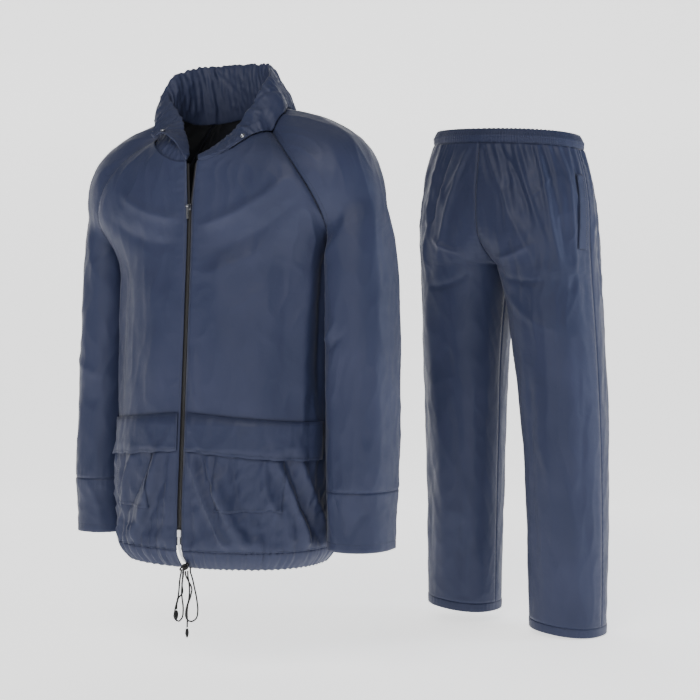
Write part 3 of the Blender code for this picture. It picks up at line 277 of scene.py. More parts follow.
COLLAR_LEFT = (
    Collar(0.00, 0.0160, -0.1185, -0.0885, 0.0110, -0.1120, -0.0800, 0.001, 0.0),
    Collar(0.07, 0.0380, -0.1160, -0.0835, 0.0270, -0.1010, -0.0700, 0.002, 0.0),
    Collar(0.15, 0.0660, -0.1075, -0.0745, 0.0460, -0.0880, -0.0530, 0.003, 0.0),
    Collar(0.26, 0.1000, -0.0910, -0.0600, 0.0680, -0.0760, -0.0300, 0.005, 0.0),
    Collar(0.38, 0.1260, -0.0610, -0.0440, 0.0860, -0.0600, 0.0060, 0.007, 0.0),
    Collar(0.47, 0.1370, -0.0260, -0.0200, 0.0960, -0.0360, 0.0440, 0.008, 0.0),
    Collar(0.56, 0.1170, 0.0110, 0.0120, 0.0930, -0.0080, 0.0700, 0.005, 0.0),
    Collar(0.68, 0.0950, 0.0500, 0.0140, 0.0700, 0.0300, 0.0930, 0.005, 0.0),
    Collar(0.86, 0.0520, 0.0880, 0.0190, 0.0370, 0.0700, 0.1090, 0.008, 0.0),
    Collar(1.00, 0.0000, 0.1060, 0.0240, 0.0000, 0.0850, 0.1170, 0.014, 0.0),
)
COLLAR_RIGHT = (
    Collar(0.00, 0.0140, -0.1185, -0.0800, 0.0090, -0.1080, -0.0780, 0.001, 0.20),
    Collar(0.07, 0.0320, -0.1170, -0.0540, 0.0220, -0.0930, -0.0560, 0.002, 0.45),
    Collar(0.15, 0.0600, -0.1120, -0.0360, 0.0420, -0.0760, -0.0300, 0.003, 0.50),
    Collar(0.26, 0.0910, -0.0990, -0.0400, 0.0620, -0.0560, -0.0020, 0.004, 0.50),
    Collar(0.38, 0.1080, -0.0780, -0.0200, 0.0960, -0.0340, 0.0280, 0.006, 0.35),
    Collar(0.47, 0.1260, -0.0420, 0.0000, 0.1250, -0.0130, 0.0570, 0.008, 0.12),
    Collar(0.56, 0.1320, 0.0040, 0.0060, 0.1260, 0.0060, 0.0880, 0.010, 0.0),
    Collar(0.68, 0.1140, 0.0500, 0.0100, 0.1080, 0.0400, 0.1090, 0.011, 0.0),
    Collar(0.86, 0.0620, 0.0880, 0.0180, 0.0600, 0.0740, 0.1170, 0.013, 0.0),
    Collar(1.00, 0.0000, 0.1060, 0.0240, 0.0000, 0.0850, 0.1170, 0.014, 0.0),
)
Point = namedtuple("Point", "x y z")
CORD_LEFT = (
    Point(-0.0647, -0.1385, -0.8040),
    Point(-0.0665, -0.1400, -0.8355),
    Point(-0.0640, -0.1400, -0.8681),
    Point(-0.0655, -0.1395, -0.8784),
    Point(-0.0723, -0.1380, -0.8853),
    Point(-0.0793, -0.1365, -0.8802),
    Point(-0.0785, -0.1355, -0.8664),
    Point(-0.0733, -0.1345, -0.8441),
    Point(-0.0699, -0.1345, -0.8115),
    Point(-0.0682, -0.1345, -0.8020),
)
CORD_RIGHT = (
    Point(-0.0562, -0.1385, -0.8040),
    Point(-0.0534, -0.1395, -0.8252),
    Point(-0.0544, -0.1385, -0.8475),
    Point(-0.0597, -0.1365, -0.8681),
    Point(-0.0597, -0.1360, -0.8784),
    Point(-0.0558, -0.1355, -0.8848),
    Point(-0.0501, -0.1355, -0.8863),
    Point(-0.0424, -0.1350, -0.8814),
    Point(-0.0395, -0.1345, -0.8681),
    Point(-0.0409, -0.1345, -0.8510),
    Point(-0.0459, -0.1345, -0.8252),
    Point(-0.0501, -0.1345, -0.8080),
    Point(-0.0522, -0.1345, -0.8020),
)
CORD_TAIL = (
    Point(-0.0598, -0.1410, -0.8040),
    Point(-0.0540, -0.1460, -0.8149),
    Point(-0.0482, -0.1480, -0.8270),
    Point(-0.0501, -0.1480, -0.8400),
    Point(-0.0550, -0.1480, -0.8556),
    Point(-0.0562, -0.1480, -0.8699),
    Point(-0.0558, -0.1480, -0.8827),
    Point(-0.0562, -0.1480, -0.8935),
)
CORD_TAIL_LEFT = (
    Point(-0.0645, -0.1320, -0.8040),
    Point(-0.0672, -0.1300, -0.8220),
    Point(-0.0670, -0.1300, -0.8393),
    Point(-0.0727, -0.1300, -0.8460),
    Point(-0.0760, -0.1300, -0.8578),
    Point(-0.0765, -0.1300, -0.8660),
)

# A crease: from one place on the cloth to another, in metres across it and in height
Crease = namedtuple("Crease", "u0 v0 u1 v1 bow width height")
FRONT_LEFT_CREASES = (
    Crease(0.012, -0.596, 0.100, -0.775, 0.006, 0.0090, 0.0060),
    Crease(0.030, -0.600, 0.075, -0.720, -0.004, 0.0060, -0.0045),
    Crease(0.050, -0.604, 0.135, -0.770, 0.008, 0.0100, 0.0050),
    Crease(0.094, -0.606, 0.120, -0.700, 0.004, 0.0070, -0.0035),
    Crease(0.150, -0.604, 0.178, -0.700, 0.010, 0.0060, 0.0042),
    Crease(0.166, -0.606, 0.236, -0.765, -0.008, 0.0080, 0.0062),
    Crease(0.190, -0.608, 0.262, -0.745, 0.006, 0.0080, -0.0050),
    Crease(0.210, -0.604, 0.300, -0.760, 0.004, 0.0090, 0.0045),
    Crease(0.016, -0.640, 0.020, -0.760, 0.003, 0.0060, -0.0030),
    Crease(0.024, -0.205, 0.185, -0.130, 0.010, 0.0120, 0.0034),
    Crease(0.034, -0.250, 0.200, -0.170, 0.012, 0.0150, -0.0028),
    Crease(0.022, -0.290, 0.150, -0.235, 0.010, 0.0160, 0.0022),
    Crease(0.012, -0.420, 0.030, -0.520, 0.006, 0.0080, 0.0024),
    Crease(0.060, -0.260, 0.075, -0.500, 0.006, 0.0260, 0.0024),
    Crease(0.170, -0.250, 0.165, -0.520, -0.010, 0.0300, -0.0030),
    Crease(0.225, -0.280, 0.215, -0.540, 0.006, 0.0160, 0.0034),
    Crease(0.255, -0.255, 0.250, -0.500, 0.004, 0.0110, -0.0034),
)
FRONT_RIGHT_CREASES = (
    Crease(0.018, -0.600, 0.034, -0.765, 0.006, 0.0070, 0.0044),
    Crease(0.044, -0.600, 0.112, -0.760, 0.008, 0.0100, 0.0060),
    Crease(0.066, -0.604, 0.126, -0.700, 0.004, 0.0070, -0.0044),
    Crease(0.108, -0.604, 0.168, -0.765, -0.006, 0.0090, 0.0050),
    Crease(0.146, -0.606, 0.210, -0.755, 0.006, 0.0080, -0.0046),
    Crease(0.190, -0.606, 0.252, -0.750, 0.004, 0.0090, 0.0044),
    Crease(0.022, -0.190, 0.150, -0.140, 0.010, 0.0120, 0.0030),
    Crease(0.030, -0.235, 0.180, -0.185, 0.012, 0.0150, -0.0026),
    Crease(0.080, -0.280, 0.070, -0.500, 0.008, 0.0260, 0.0026),
    Crease(0.160, -0.250, 0.175, -0.520, -0.010, 0.0280, -0.0030),
    Crease(0.226, -0.270, 0.216, -0.530, 0.006, 0.0160, 0.0032),
)
BACK_CREASES = (
    Crease(-0.200, -0.560, -0.110, -0.760, 0.008, 0.0120, 0.0056),
    Crease(-0.120, -0.590, -0.060, -0.765, -0.006, 0.0100, -0.0044),
    Crease(-0.030, -0.560, -0.010, -0.765, 0.008, 0.0110, 0.0050),
    Crease(0.060, -0.600, 0.025, -0.765, -0.006, 0.0090, -0.0040),
    Crease(0.130, -0.570, 0.080, -0.760, 0.008, 0.0120, 0.0054),
    Crease(0.215, -0.590, 0.170, -0.760, 0.004, 0.0100, -0.0046),
    Crease(-0.250, -0.170, -0.060, -0.300, 0.020, 0.0180, 0.0044),
    Crease(0.250, -0.175, 0.070, -0.310, -0.020, 0.0180, 0.0040),
    Crease(-0.240, -0.250, -0.110, -0.380, 0.016, 0.0150, -0.0036),
    Crease(0.235, -0.240, 0.120, -0.370, -0.014, 0.0150, -0.0036),
    Crease(-0.070, -0.120, -0.090, -0.520, 0.014, 0.0300, 0.0030),
    Crease(0.080, -0.140, 0.100, -0.540, -0.012, 0.0280, 0.0032),
    Crease(0.010, -0.060, 0.000, -0.460, 0.008, 0.0320, -0.0026),
    Crease(-0.120, -0.070, 0.100, -0.055, 0.020, 0.0140, 0.0026),
)
SLEEVE_LEFT_CREASES = (
    Crease(-0.150, -0.420, -0.110, -0.395, 0.004, 0.0060, -0.0034),
    Crease(-0.158, -0.405, -0.120, -0.372, 0.004, 0.0060, 0.0032),
    Crease(-0.090, -0.300, -0.105, -0.620, 0.008, 0.0260, -0.0022),
    Crease(-0.030, -0.120, -0.045, -0.640, 0.006, 0.0220, 0.0030),
    Crease(-0.150, -0.265, -0.070, -0.170, 0.010, 0.0120, 0.0034),
    Crease(-0.130, -0.235, -0.050, -0.120, 0.010, 0.0130, -0.0026),
    Crease(0.040, -0.200, 0.050, -0.620, -0.008, 0.0220, 0.0030),
    Crease(0.100, -0.300, 0.085, -0.600, 0.008, 0.0200, -0.0028),
    Crease(0.160, -0.260, 0.080, -0.180, 0.008, 0.0120, 0.0036),
    Crease(0.150, -0.420, 0.105, -0.390, 0.004, 0.0080, 0.0034),
    Crease(0.165, -0.450, 0.110, -0.430, 0.004, 0.0080, -0.0030),
)
SLEEVE_RIGHT_CREASES = (
    Crease(-0.150, -0.300, -0.090, -0.190, 0.010, 0.0120, 0.0034),
    Crease(-0.160, -0.470, -0.060, -0.430, 0.006, 0.0090, 0.0030),
    Crease(-0.080, -0.260, -0.090, -0.620, 0.008, 0.0240, 0.0028),
    Crease(-0.030, -0.180, -0.040, -0.640, 0.006, 0.0180, -0.0026),
    Crease(0.050, -0.220, 0.040, -0.620, -0.008, 0.0220, 0.0030),
    Crease(0.150, -0.280, 0.080, -0.190, 0.008, 0.0120, 0.0036),
    Crease(0.160, -0.430, 0.090, -0.400, 0.004, 0.0080, -0.0032),
)
CUFF_LEFT_CREASES = (
    Crease(-0.140, -0.664, -0.110, -0.748, 0.004, 0.0070, 0.0028),
    Crease(-0.120, -0.664, -0.092, -0.740, 0.004, 0.0060, -0.0030),
    Crease(-0.060, -0.690, -0.090, -0.742, 0.004, 0.0080, -0.0024),
    Crease(0.070, -0.664, 0.100, -0.740, 0.004, 0.0080, 0.0026),
)
CUFF_RIGHT_CREASES = (
    Crease(-0.110, -0.664, -0.130, -0.742, 0.004, 0.0070, 0.0026),
    Crease(-0.070, -0.680, -0.050, -0.745, 0.004, 0.0070, -0.0024),
    Crease(0.080, -0.664, 0.100, -0.742, 0.004, 0.0080, 0.0026),
)
FLAP_CREASES = (
    Crease(0.010, -0.540, 0.045, -0.590, 0.002, 0.0060, 0.0016),
    Crease(0.060, -0.535, 0.066, -0.570, 0.001, 0.0040, -0.0014),
    Crease(0.105, -0.540, 0.110, -0.575, 0.001, 0.0050, 0.0014),
    Crease(0.150, -0.540, 0.162, -0.580, 0.002, 0.0050, -0.0014),
    Crease(0.205, -0.545, 0.200, -0.600, 0.002, 0.0070, 0.0016),
)
LEG_FRONT_LEFT_CREASES = (
    Crease(-0.205, -0.045, -0.150, -0.225, 0.010, 0.0065, 0.0054),
    Crease(-0.175, -0.020, -0.145, -0.150, -0.006, 0.0050, -0.0042),
    Crease(-0.150, -0.010, -0.120, -0.190, 0.008, 0.0060, 0.0050),
    Crease(-0.108, -0.010, -0.090, -0.250, 0.008, 0.0070, 0.0050),
    Crease(-0.085, -0.020, -0.078, -0.200, 0.004, 0.0055, -0.0038),
    Crease(-0.050, -0.020, -0.050, -0.290, 0.004, 0.0070, 0.0040),
    Crease(-0.240, -0.235, -0.150, -0.205, 0.006, 0.0060, 0.0044),
    Crease(-0.235, -0.262, -0.130, -0.275, 0.008, 0.0070, -0.0040),
    Crease(-0.225, -0.290, -0.110, -0.370, 0.010, 0.0090, 0.0036),
    Crease(-0.120, -0.330, -0.105, -0.880, 0.010, 0.0220, 0.0040),
    Crease(-0.165, -0.420, -0.150, -0.930, 0.006, 0.0140, -0.0038),
    Crease(-0.060, -0.400, -0.060, -0.900, -0.008, 0.0180, -0.0030),
)
LEG_FRONT_RIGHT_CREASES = (
    Crease(-0.200, -0.030, -0.175, -0.235, 0.008, 0.0060, 0.0052),
    Crease(-0.160, -0.010, -0.150, -0.170, 0.004, 0.0050, -0.0040),
    Crease(-0.125, -0.015, -0.130, -0.280, 0.006, 0.0070, 0.0050),
    Crease(-0.085, -0.015, -0.080, -0.220, 0.004, 0.0060, 0.0044),
    Crease(-0.050, -0.015, -0.040, -0.330, 0.006, 0.0080, 0.0040),
    Crease(-0.230, -0.225, -0.160, -0.200, 0.006, 0.0060, 0.0044),
    Crease(-0.230, -0.268, -0.140, -0.300, 0.008, 0.0070, -0.0040),
    Crease(-0.120, -0.330, -0.120, -0.900, 0.006, 0.0160, 0.0042),
    Crease(-0.165, -0.400, -0.160, -0.920, 0.008, 0.0130, -0.0042),
    Crease(-0.070, -0.350, -0.080, -0.900, 0.008, 0.0170, -0.0034),
)
LEG_BACK_CREASES = (
    Crease(0.200, -0.040, 0.170, -0.250, -0.008, 0.0070, 0.0050),
    Crease(0.140, -0.010, 0.140, -0.260, 0.006, 0.0070, -0.0042),
    Crease(0.090, -0.010, 0.100, -0.240, 0.004, 0.0070, 0.0048),
    Crease(0.045, -0.010, 0.050, -0.300, 0.004, 0.0080, -0.0036),
    Crease(0.240, -0.240, 0.130, -0.300, -0.010, 0.0100, 0.0050),
    Crease(0.230, -0.280, 0.120, -0.360, -0.010, 0.0100, -0.0040),
    Crease(0.120, -0.380, 0.110, -0.900, 0.008, 0.0200, 0.0042),
    Crease(0.165, -0.420, 0.160, -0.920, 0.006, 0.0140, -0.0036),
    Crease(0.060, -0.400, 0.060, -0.900, -0.006, 0.0170, 0.0030),
)

# Finishes as sRGB hex
NAVY_LIT = "#2F354F"
NAVY_DEEP = "#252C46"
# Painted shade: the cloth's inner face is near-black to stand for the shade inside the jacket
INSIDE_PAINTED_SHADE = "#10141F"
TAPE_BLACK = "#1A191D"
COIL_BLACK = "#141416"
BRAID_BLACK = "#121216"
THREAD_NAVY = "#272F48"
ACETAL_WHITE = "#E4E6EA"
PLATED_GREY = "#B9BBC0"
STAGE_WHITE = "#F7F7F6"


def linear(hex_colour):
    """Linear colour, with alpha, of an sRGB hex value."""
    parts = [int(hex_colour[k : k + 2], 16) / 255 for k in (1, 3, 5)]
    return (*[p / 12.92 if p <= 0.04045 else ((p + 0.055) / 1.055) ** 2.4 for p in parts], 1.0)


def add_node(tree, kind, settings=None, links=None):
    """One shader node, with its settings and with what its sockets are fed from."""
    made = tree.nodes.new(kind)
    for name, value in (settings or {}).items():
        if name in made.inputs:
            made.inputs[name].default_value = value
        else:
            setattr(made, name, value)
    for name, source in (links or {}).items():
        tree.links.new(source, made.inputs[name])
    return made


def start_finish(name, settings):
    """A material with one Principled shader and its plain settings."""
    made = bpy.data.materials.new(name)
    made.use_nodes = True
    shader = made.node_tree.nodes["Principled BSDF"]
    for socket, value in settings.items():
        shader.inputs[socket].default_value = value
    return made, made.node_tree, shader


def coated_nylon():
    """Woven nylon taffeta, thinly coated: a soft, slightly waxy sheen over small crumples."""
    made, tree, shader = start_finish(
        "coated_nylon_taffeta",
        {"IOR": 1.5, "Specular IOR Level": 0.30, "Sheen Weight": 0.06, "Sheen Roughness": 0.4},
    )
    cloth = add_node(tree, "ShaderNodeUVMap", {"uv_map": "cloth"}).outputs["UV"]
    tone = add_node(
        tree, "ShaderNodeTexNoise", {"Scale": 5.0, "Detail": 2.0, "Roughness": 0.5}, {"Vector": cloth}
    )
    shift = add_node(
        tree, "ShaderNodeMapRange", {"From Min": 0.35, "From Max": 0.65}, {"Value": tone.outputs["Fac"]}
    )
    colour = add_node(tree, "ShaderNodeMix", {"data_type": "RGBA"})
    colour.inputs[6].default_value = linear(NAVY_DEEP)
    colour.inputs[7].default_value = linear(NAVY_LIT)
    tree.links.new(shift.outputs["Result"], colour.inputs["Factor"])
    tree.links.new(colour.outputs[2], shader.inputs["Base Color"])
    rub = add_node(
        tree, "ShaderNodeTexNoise", {"Scale": 38.0, "Detail": 4.0, "Roughness": 0.6}, {"Vector": cloth}
    )
    gloss = add_node(
        tree,
        "ShaderNodeMapRange",
        {"From Min": 0.3, "From Max": 0.7, "To Min": 0.47, "To Max": 0.60},
        {"Value": rub.outputs["Fac"]},
    )
    tree.links.new(gloss.outputs["Result"], shader.inputs["Roughness"])
    # Crumples of 15 to 50 mm with a sharp crest, as thin coated cloth keeps from being folded
    crumple = add_node(
        tree,
        "ShaderNodeTexNoise",
        {"Scale": 26.0, "Detail": 5.0, "Roughness": 0.55, "Distortion": 0.5},
        {"Vector": cloth},
    )
    # Threads are 0.25 mm apart and drawn 1.3 to 1.6 mm apart, as finer ones wouldn't show
    warp = add_node(
        tree,
        "ShaderNodeTexWave",
        {"Scale": 240.0, "Distortion": 0.3, "bands_direction": "X"},
        {"Vector": cloth},
    )
    weft = add_node(
        tree,
        "ShaderNodeTexWave",
        {"Scale": 200.0, "Distortion": 0.3, "bands_direction": "Y"},
        {"Vector": cloth},
    )
    weave = add_node(
        tree, "ShaderNodeMath", {"operation": "ADD"}, {0: warp.outputs["Fac"], 1: weft.outputs["Fac"]}
    )
    low = add_node(
        tree,
        "ShaderNodeBump",
        {"Strength": 0.5, "Distance": 0.0022},
        {"Height": crumple.outputs["Fac"]},
    )
    high = add_node(
        tree,
        "ShaderNodeBump",
        {"Strength": 0.25, "Distance": 0.0002},
        {"Height": weave.outputs["Value"], "Normal": low.outputs["Normal"]},
    )
    tree.links.new(high.outputs["Normal"], shader.inputs["Normal"])
    return made


def mottled(name, colour, dark, settings, scale, rough, bump):
    """A finish whose colour, gloss and grain all vary with one noise of a given scale."""
    made, tree, shader = start_finish(name, settings)
    at = add_node(tree, "ShaderNodeTexCoord").outputs["Object"]
    spread = add_node(tree, "ShaderNodeTexNoise", {"Scale": scale}, {"Vector": at}).outputs["Fac"]
    mix = add_node(tree, "ShaderNodeMix", {"data_type": "RGBA"}, {"Factor": spread})
    mix.inputs[6].default_value = linear(dark)
    mix.inputs[7].default_value = linear(colour)
    tree.links.new(mix.outputs[2], shader.inputs["Base Color"])
    gloss = add_node(
        tree, "ShaderNodeMapRange", {"To Min": rough[0], "To Max": rough[1]}, {"Value": spread}
    )
    tree.links.new(gloss.outputs["Result"], shader.inputs["Roughness"])
    raised = add_node(
        tree, "ShaderNodeBump", {"Strength": 0.6, "Distance": bump}, {"Height": spread}
    )
    tree.links.new(raised.outputs["Normal"], shader.inputs["Normal"])
    return made


def make_finishes():
    """Every finish of the suit by a short name."""
    return {
        "nylon": coated_nylon(),
        # The rubbery coated inside, made almost black as painted shade for the jacket's dark inside, and
        # without a sheen
        "inside_painted_shade": mottled(
            "polyurethane_inside_painted_shade", INSIDE_PAINTED_SHADE, "#0A0D16", {"IOR": 1.5}, 120.0, (0.55, 0.7), 0.0003
        ),
        # Woven polyester tape, dull, with its ribs drawn 2 mm apart
        "tape": mottled(
            "woven_polyester_tape", TAPE_BLACK, "#0E0E12", {"IOR": 1.5}, 900.0, (0.75, 0.9), 0.0003
        ),
        # Moulded nylon coil: dark, smooth and a little shiny
        "coil": mottled(
            "moulded_nylon_coil", COIL_BLACK, "#0C0C0E", {"IOR": 1.53}, 600.0, (0.3, 0.42), 0.0001
        ),
        # Round polyester braid, matt with small strands
        "braid": mottled(
            "polyester_braid", BRAID_BLACK, "#060608", {"IOR": 1.5}, 1400.0, (0.65, 0.85), 0.0004
        ),
        # Spun polyester thread a little darker than the cloth
        "thread": mottled(
            "spun_polyester_thread", THREAD_NAVY, "#1C2236", {"IOR": 1.5}, 900.0, (0.6, 0.75), 0.0001
        ),
        # Injection-moulded acetal, white and softly glossy
        "white": mottled(
            "moulded_acetal", ACETAL_WHITE, "#CDD0D6", {"IOR": 1.48}, 80.0, (0.32, 0.45), 0.0001
        ),
        # Nickel-plated zinc with fine rubbing marks
        "metal": mottled(
            "nickel_plated_zinc", PLATED_GREY, "#8E9096", {"Metallic": 1.0}, 400.0, (0.22, 0.4), 0.0001
        ),
    }


def column(rows, key, name, at):
    """A smooth curve through one column of a table, read at the values in at."""
    keys = np.array([getattr(row, key) for row in rows])
    values = np.array([getattr(row, name) for row in rows])
    slopes = np.gradient(values, keys)
    at = np.clip(np.asarray(at, float), keys.min(), keys.max())
    k = np.clip(np.searchsorted(keys, at) - 1, 0, len(keys) - 2)
    width = keys[k + 1] - keys[k]
    f = (at - keys[k]) / width
    rise = values[k + 1] - values[k]
    start = slopes[k] * width
    end = slopes[k + 1] * width
    return values[k] + f * (start + f * (3 * rise - 2 * start - end + f * (start + end - 2 * rise)))


def seam_point(rows, t):
    """One place along a seam, from 0 at the underarm to 1 at the neck."""
    return np.array([column(rows, "t", axis, t) for axis in "xyz"])


def power(value, exponent):
    """A power that keeps the sign."""
    return np.sign(value) * np.abs(value) ** exponent


def quarter(middle, side, turn, start_x):
    """A row across half a front or back: from its middle seam to its side, at fractions in turn."""
    sine = power(np.sin(turn * math.pi / 2), ROUND)
    cosine = power(np.cos(turn * math.pi / 2), ROUND)
    x = start_x + (side[0] - start_x) * sine
    y = side[1] + (middle[1] - side[1]) * cosine
    z = middle[2] + (side[2] - middle[2]) * sine**NECK_DIP
    return np.stack([x, y, z], axis=-1)


def tube_row(front, back, side, half_depth, turn, crown=1.0):
    """A row round a sleeve or leg from the front seam, past its outer side, to the back seam."""
    middle = (front + back) / 2
    half_gap = (back[1] - front[1]) / 2
    share = min(1.0, half_gap / half_depth)
    opening = math.pi - math.asin(share ** (1 / ROUND))
    angle = opening * turn
    low = power(math.cos(opening), ROUND)
    along = (power(np.cos(angle), ROUND) - low) / (1 - low)
    row = middle + np.outer(along, side - middle)
    risen = np.abs(along) ** crown
    row[:, 2] = middle[2] + (side[2] - middle[2]) * risen
    fitted = half_gap / share if share else half_depth
    aside = fitted * power(np.sin(angle), ROUND)
    row[:, 1] += aside
    if half_gap > 1e-6:
        slope = (back - front) / (2 * half_gap)
        row[:, 0] += slope[0] * aside * (1 - along)
        row[:, 2] += slope[2] * aside * (1 - risen)
    return row


def fold_height(folds, x, z):
    """How far the folds push the cloth out at each point."""
    height = np.zeros_like(x)
    for fold in folds:
        run = np.array([fold.x1 - fold.x0, fold.z1 - fold.z0])
        length = np.hypot(*run)
        along = ((x - fold.x0) * run[0] + (z - fold.z0) * run[1]) / length**2
        across = ((x - fold.x0) * run[1] - (z - fold.z0) * run[0]) / length
        ends = np.clip(along, 0, 1) * np.clip(1.25 - along, 0, 1) * 2.2
        height += fold.height * np.exp(-((across / fold.width) ** 2)) * np.clip(ends, 0, 1)
    return height


def body_levels():
    """Heights of the grid's rows below the underarm."""
    return np.linspace(HEM_SEAM, UNDERARM, BODY_ROWS)


def cap_levels():
    """Places of the rows above the underarm, along the raglan seam."""
    return np.linspace(0, 1, CAP_ROWS + 1)[1:]


def body_row(z, face, turn, start_x):
    """One row of half a front or back at a height."""
    half_width = float(column(BODY, "z", "half_width", z))
    depth = float(column(BODY, "z", face, z))
    sign = -1 if face == "front" else 1
    return quarter(np.array([0, sign * depth, z]), np.array([half_width, 0, z]), turn, start_x)


def zip_edge(z):
    """Half the slot between the fronts at a height."""
    up = np.clip((z - SLIDER_TOP) / (NECK_FRONT - SLIDER_TOP), 0, 1)
    return ZIP_SLOT + (ZIP_OPEN - ZIP_SLOT) * up


def front_grid():
    """The left front, from the zip to the side and from the hem seam to the neck."""
    turn = np.linspace(0, 1, FRONT_STEPS + 1)
    rows = [body_row(z, "front", turn, zip_edge(z)) for z in body_levels()]
    for t in cap_levels():
        middle = seam_point(CENTRE_FRONT, t)
        rows.append(quarter(middle, seam_point(RAGLAN_FRONT, t), turn, zip_edge(middle[2])))
    grid = np.array(rows)
    above = rounded_step((grid[:, :, 2] - HEM_SEAM) / 0.03)
    grid[:, :, 1] -= above * fold_height(FRONT_FOLDS, grid[:, :, 0], grid[:, :, 2])
    return grid


def back_grid():
    """The back from the right side to the left."""
    turn = np.linspace(0, 1, BACK_STEPS // 2 + 1)
    rows = [body_row(z, "back", turn, 0.0) for z in body_levels()]
    for t in cap_levels():
        rows.append(quarter(seam_point(CENTRE_BACK, t), seam_point(RAGLAN_BACK, t), turn, 0.0))
    half = np.array(rows)
    other = half[:, :0:-1] * (-1, 1, 1)
    return np.concatenate([other, half], axis=1)


def sleeve_row(table, z, turn):
    """One closed row round a sleeve below the underarm."""
    centre = float(column(table, "z", "centre", z))
    half_width = float(column(table, "z", "half_width", z))
    half_depth = float(column(table, "z", "half_depth", z))
    back = float(column(table, "z", "back", z))
    inner = np.array([centre - half_width, 0, z])
    return tube_row(inner, inner, np.array([centre + half_width, back, z]), half_depth, turn)


def sleeve_grid(table, pull):
    """A sleeve from the cuff seam to the neck; pull flattens the shoulder."""
    turn = np.linspace(-1, 1, SLEEVE_STEPS + 1)
    rows = [sleeve_row(table, z, turn) for z in np.linspace(CUFF_SEAM, UNDERARM, SLEEVE_ROWS + 1)]
    lowest = table[-1]
    for t in cap_levels():
        front = seam_point(RAGLAN_FRONT, t)
        back = seam_point(RAGLAN_BACK, t)
        half_gap = (back[1] - front[1]) / 2
        half_depth = max(half_gap, CAP_DEPTH * (1 - t) ** 0.5)
        outer = seam_point(SHOULDER, t)
        outer[0] += (lowest.centre + lowest.half_width - SHOULDER[0].x) * (1 - t) ** 2
        outer[0] -= pull * t**2 * (1 - t)
        outer[1] += lowest.back * (1 - t) ** 2
        rows.append(tube_row(front, back, outer, half_depth, turn, 1 + t))
    return np.array(rows)


def leg_row(step, turn):
    """One row round the left leg, at a share of its length."""
    value = {name: float(column(LEGS, "step", name, step)) for name in Leg._fields[1:]}
    if step <= 0.22:
        value["seam_x"] = 0.0
    half_gap = max(0.0, value["seam_half_depth"])
    if step >= CROTCH_STEP:
        half_gap = 0.0
    front = np.array([max(0.0, value["seam_x"]), -half_gap, value["seam_z"]])
    back = front * (1, -1, 1)
    side = np.array([value["side_x"], 0.0, value["side_z"]])
    return tube_row(front, back, side, max(value["half_depth"], half_gap), turn)


def flap_top(x):
    """Height of the flap's seam, lower towards the side."""
    return FLAP_TOP_CENTRE + (FLAP_TOP_SIDE - FLAP_TOP_CENTRE) * min(1.0, x / 0.19)


def flap_bottom(x):
    """Height of the flap's free edge."""
    return flap_top(x) - FLAP_HEIGHT


def bag_top(_):
    """The bag's upper edge is level, at every distance from the zip."""
    return BAG_TOP


def bag_bottom(_):
    """And so is its lower edge."""
    return BAG_BOTTOM


def laid_on(front, columns, bottom, top, clear, flare):
    """A patch over some columns of the front, from its own points, moved out."""
    first, last = columns
    sides = front[0, first : last + 1, 0]
    lowest_in = max(bottom(x) for x in sides) + LEAST_ROW
    highest_in = min(top(x) for x in sides) - LEAST_ROW
    inside = [z for z in front[:BODY_ROWS, first, 2] if lowest_in < z < highest_in]
    made = []
    for j in range(first, last + 1):
        strip = front[:BODY_ROWS, j]
        low, high = bottom(strip[0, 0]), top(strip[0, 0])
        beside = front[:BODY_ROWS, min(j + 1, FRONT_STEPS)] - front[:BODY_ROWS, max(j - 1, 0)]
        line = []
        for z in (low, *inside, high):
            point = np.array([np.interp(z, strip[:, 2], strip[:, k]) for k in range(3)])
            across = np.array([np.interp(z, strip[:, 2], beside[:, k]) for k in range(3)])
            across[2] = 0
            across /= np.linalg.norm(across)
            out = np.array([across[1], -across[0], 0])
            share = (high - z) / (high - low)
            belly = math.sin(math.pi * (j - first + 1) / (last - first + 2))
            inset = FLAP_INSET if j == 0 else 0.0
            line.append(point + out * (clear + flare * share * belly) + across * inset)
        made.append(line)
    return np.transpose(np.array(made), (1, 0, 2))


def centre_line(z, back=0.0):
    """The front's surface on the middle line, set back by some depth."""
    z = np.atleast_1d(np.asarray(z, float))
    y = np.where(
        z <= UNDERARM,
        -column(BODY, "z", "front", z),
        np.interp(z, [row.z for row in CENTRE_FRONT], [row.y for row in CENTRE_FRONT]),
    )
    return np.stack([np.zeros_like(z), y + back, z], axis=-1)


def neck_seam(front, sleeve, back):
    """The left half of the neck seam, from the zip over the sleeve to the middle of the back."""
    half = back[-1, BACK_STEPS // 2 :][::-1]
    line = np.concatenate([front[-1], sleeve[-1][1:], half[1:]])
    step = np.linalg.norm(np.diff(line, axis=0), axis=1)
    return np.concatenate([[0], np.cumsum(step)]) / step.sum(), line


def cloth_below(pieces):
    """A lookup for the height of the jacket's outer face under a point."""
    points = np.concatenate([grid.reshape(-1, 3) for grid in pieces]).tolist()
    faces = []
    start = 0
    for grid in pieces:
        rows, columns = grid.shape[:2]
        for i in range(rows - 1):
            for j in range(columns - 1):
                a = start + i * columns + j
                faces.append((a, a + 1, a + columns + 1, a + columns))
        start += rows * columns
    return BVHTree.FromPolygons(points, faces)


def rest_on(cloth, point, side):
    """Lifts a point of the collar to just above the cloth under it."""
    hit, normal = cloth.ray_cast((point[0] * side, point[1], 0.3), (0, 0, -1))[:2]
    if hit is None:
        return point
    clear = COLLAR_CLEAR / max(STEEPEST, abs(normal.z))
    return np.array([point[0], point[1], max(point[2], hit.z + clear)])


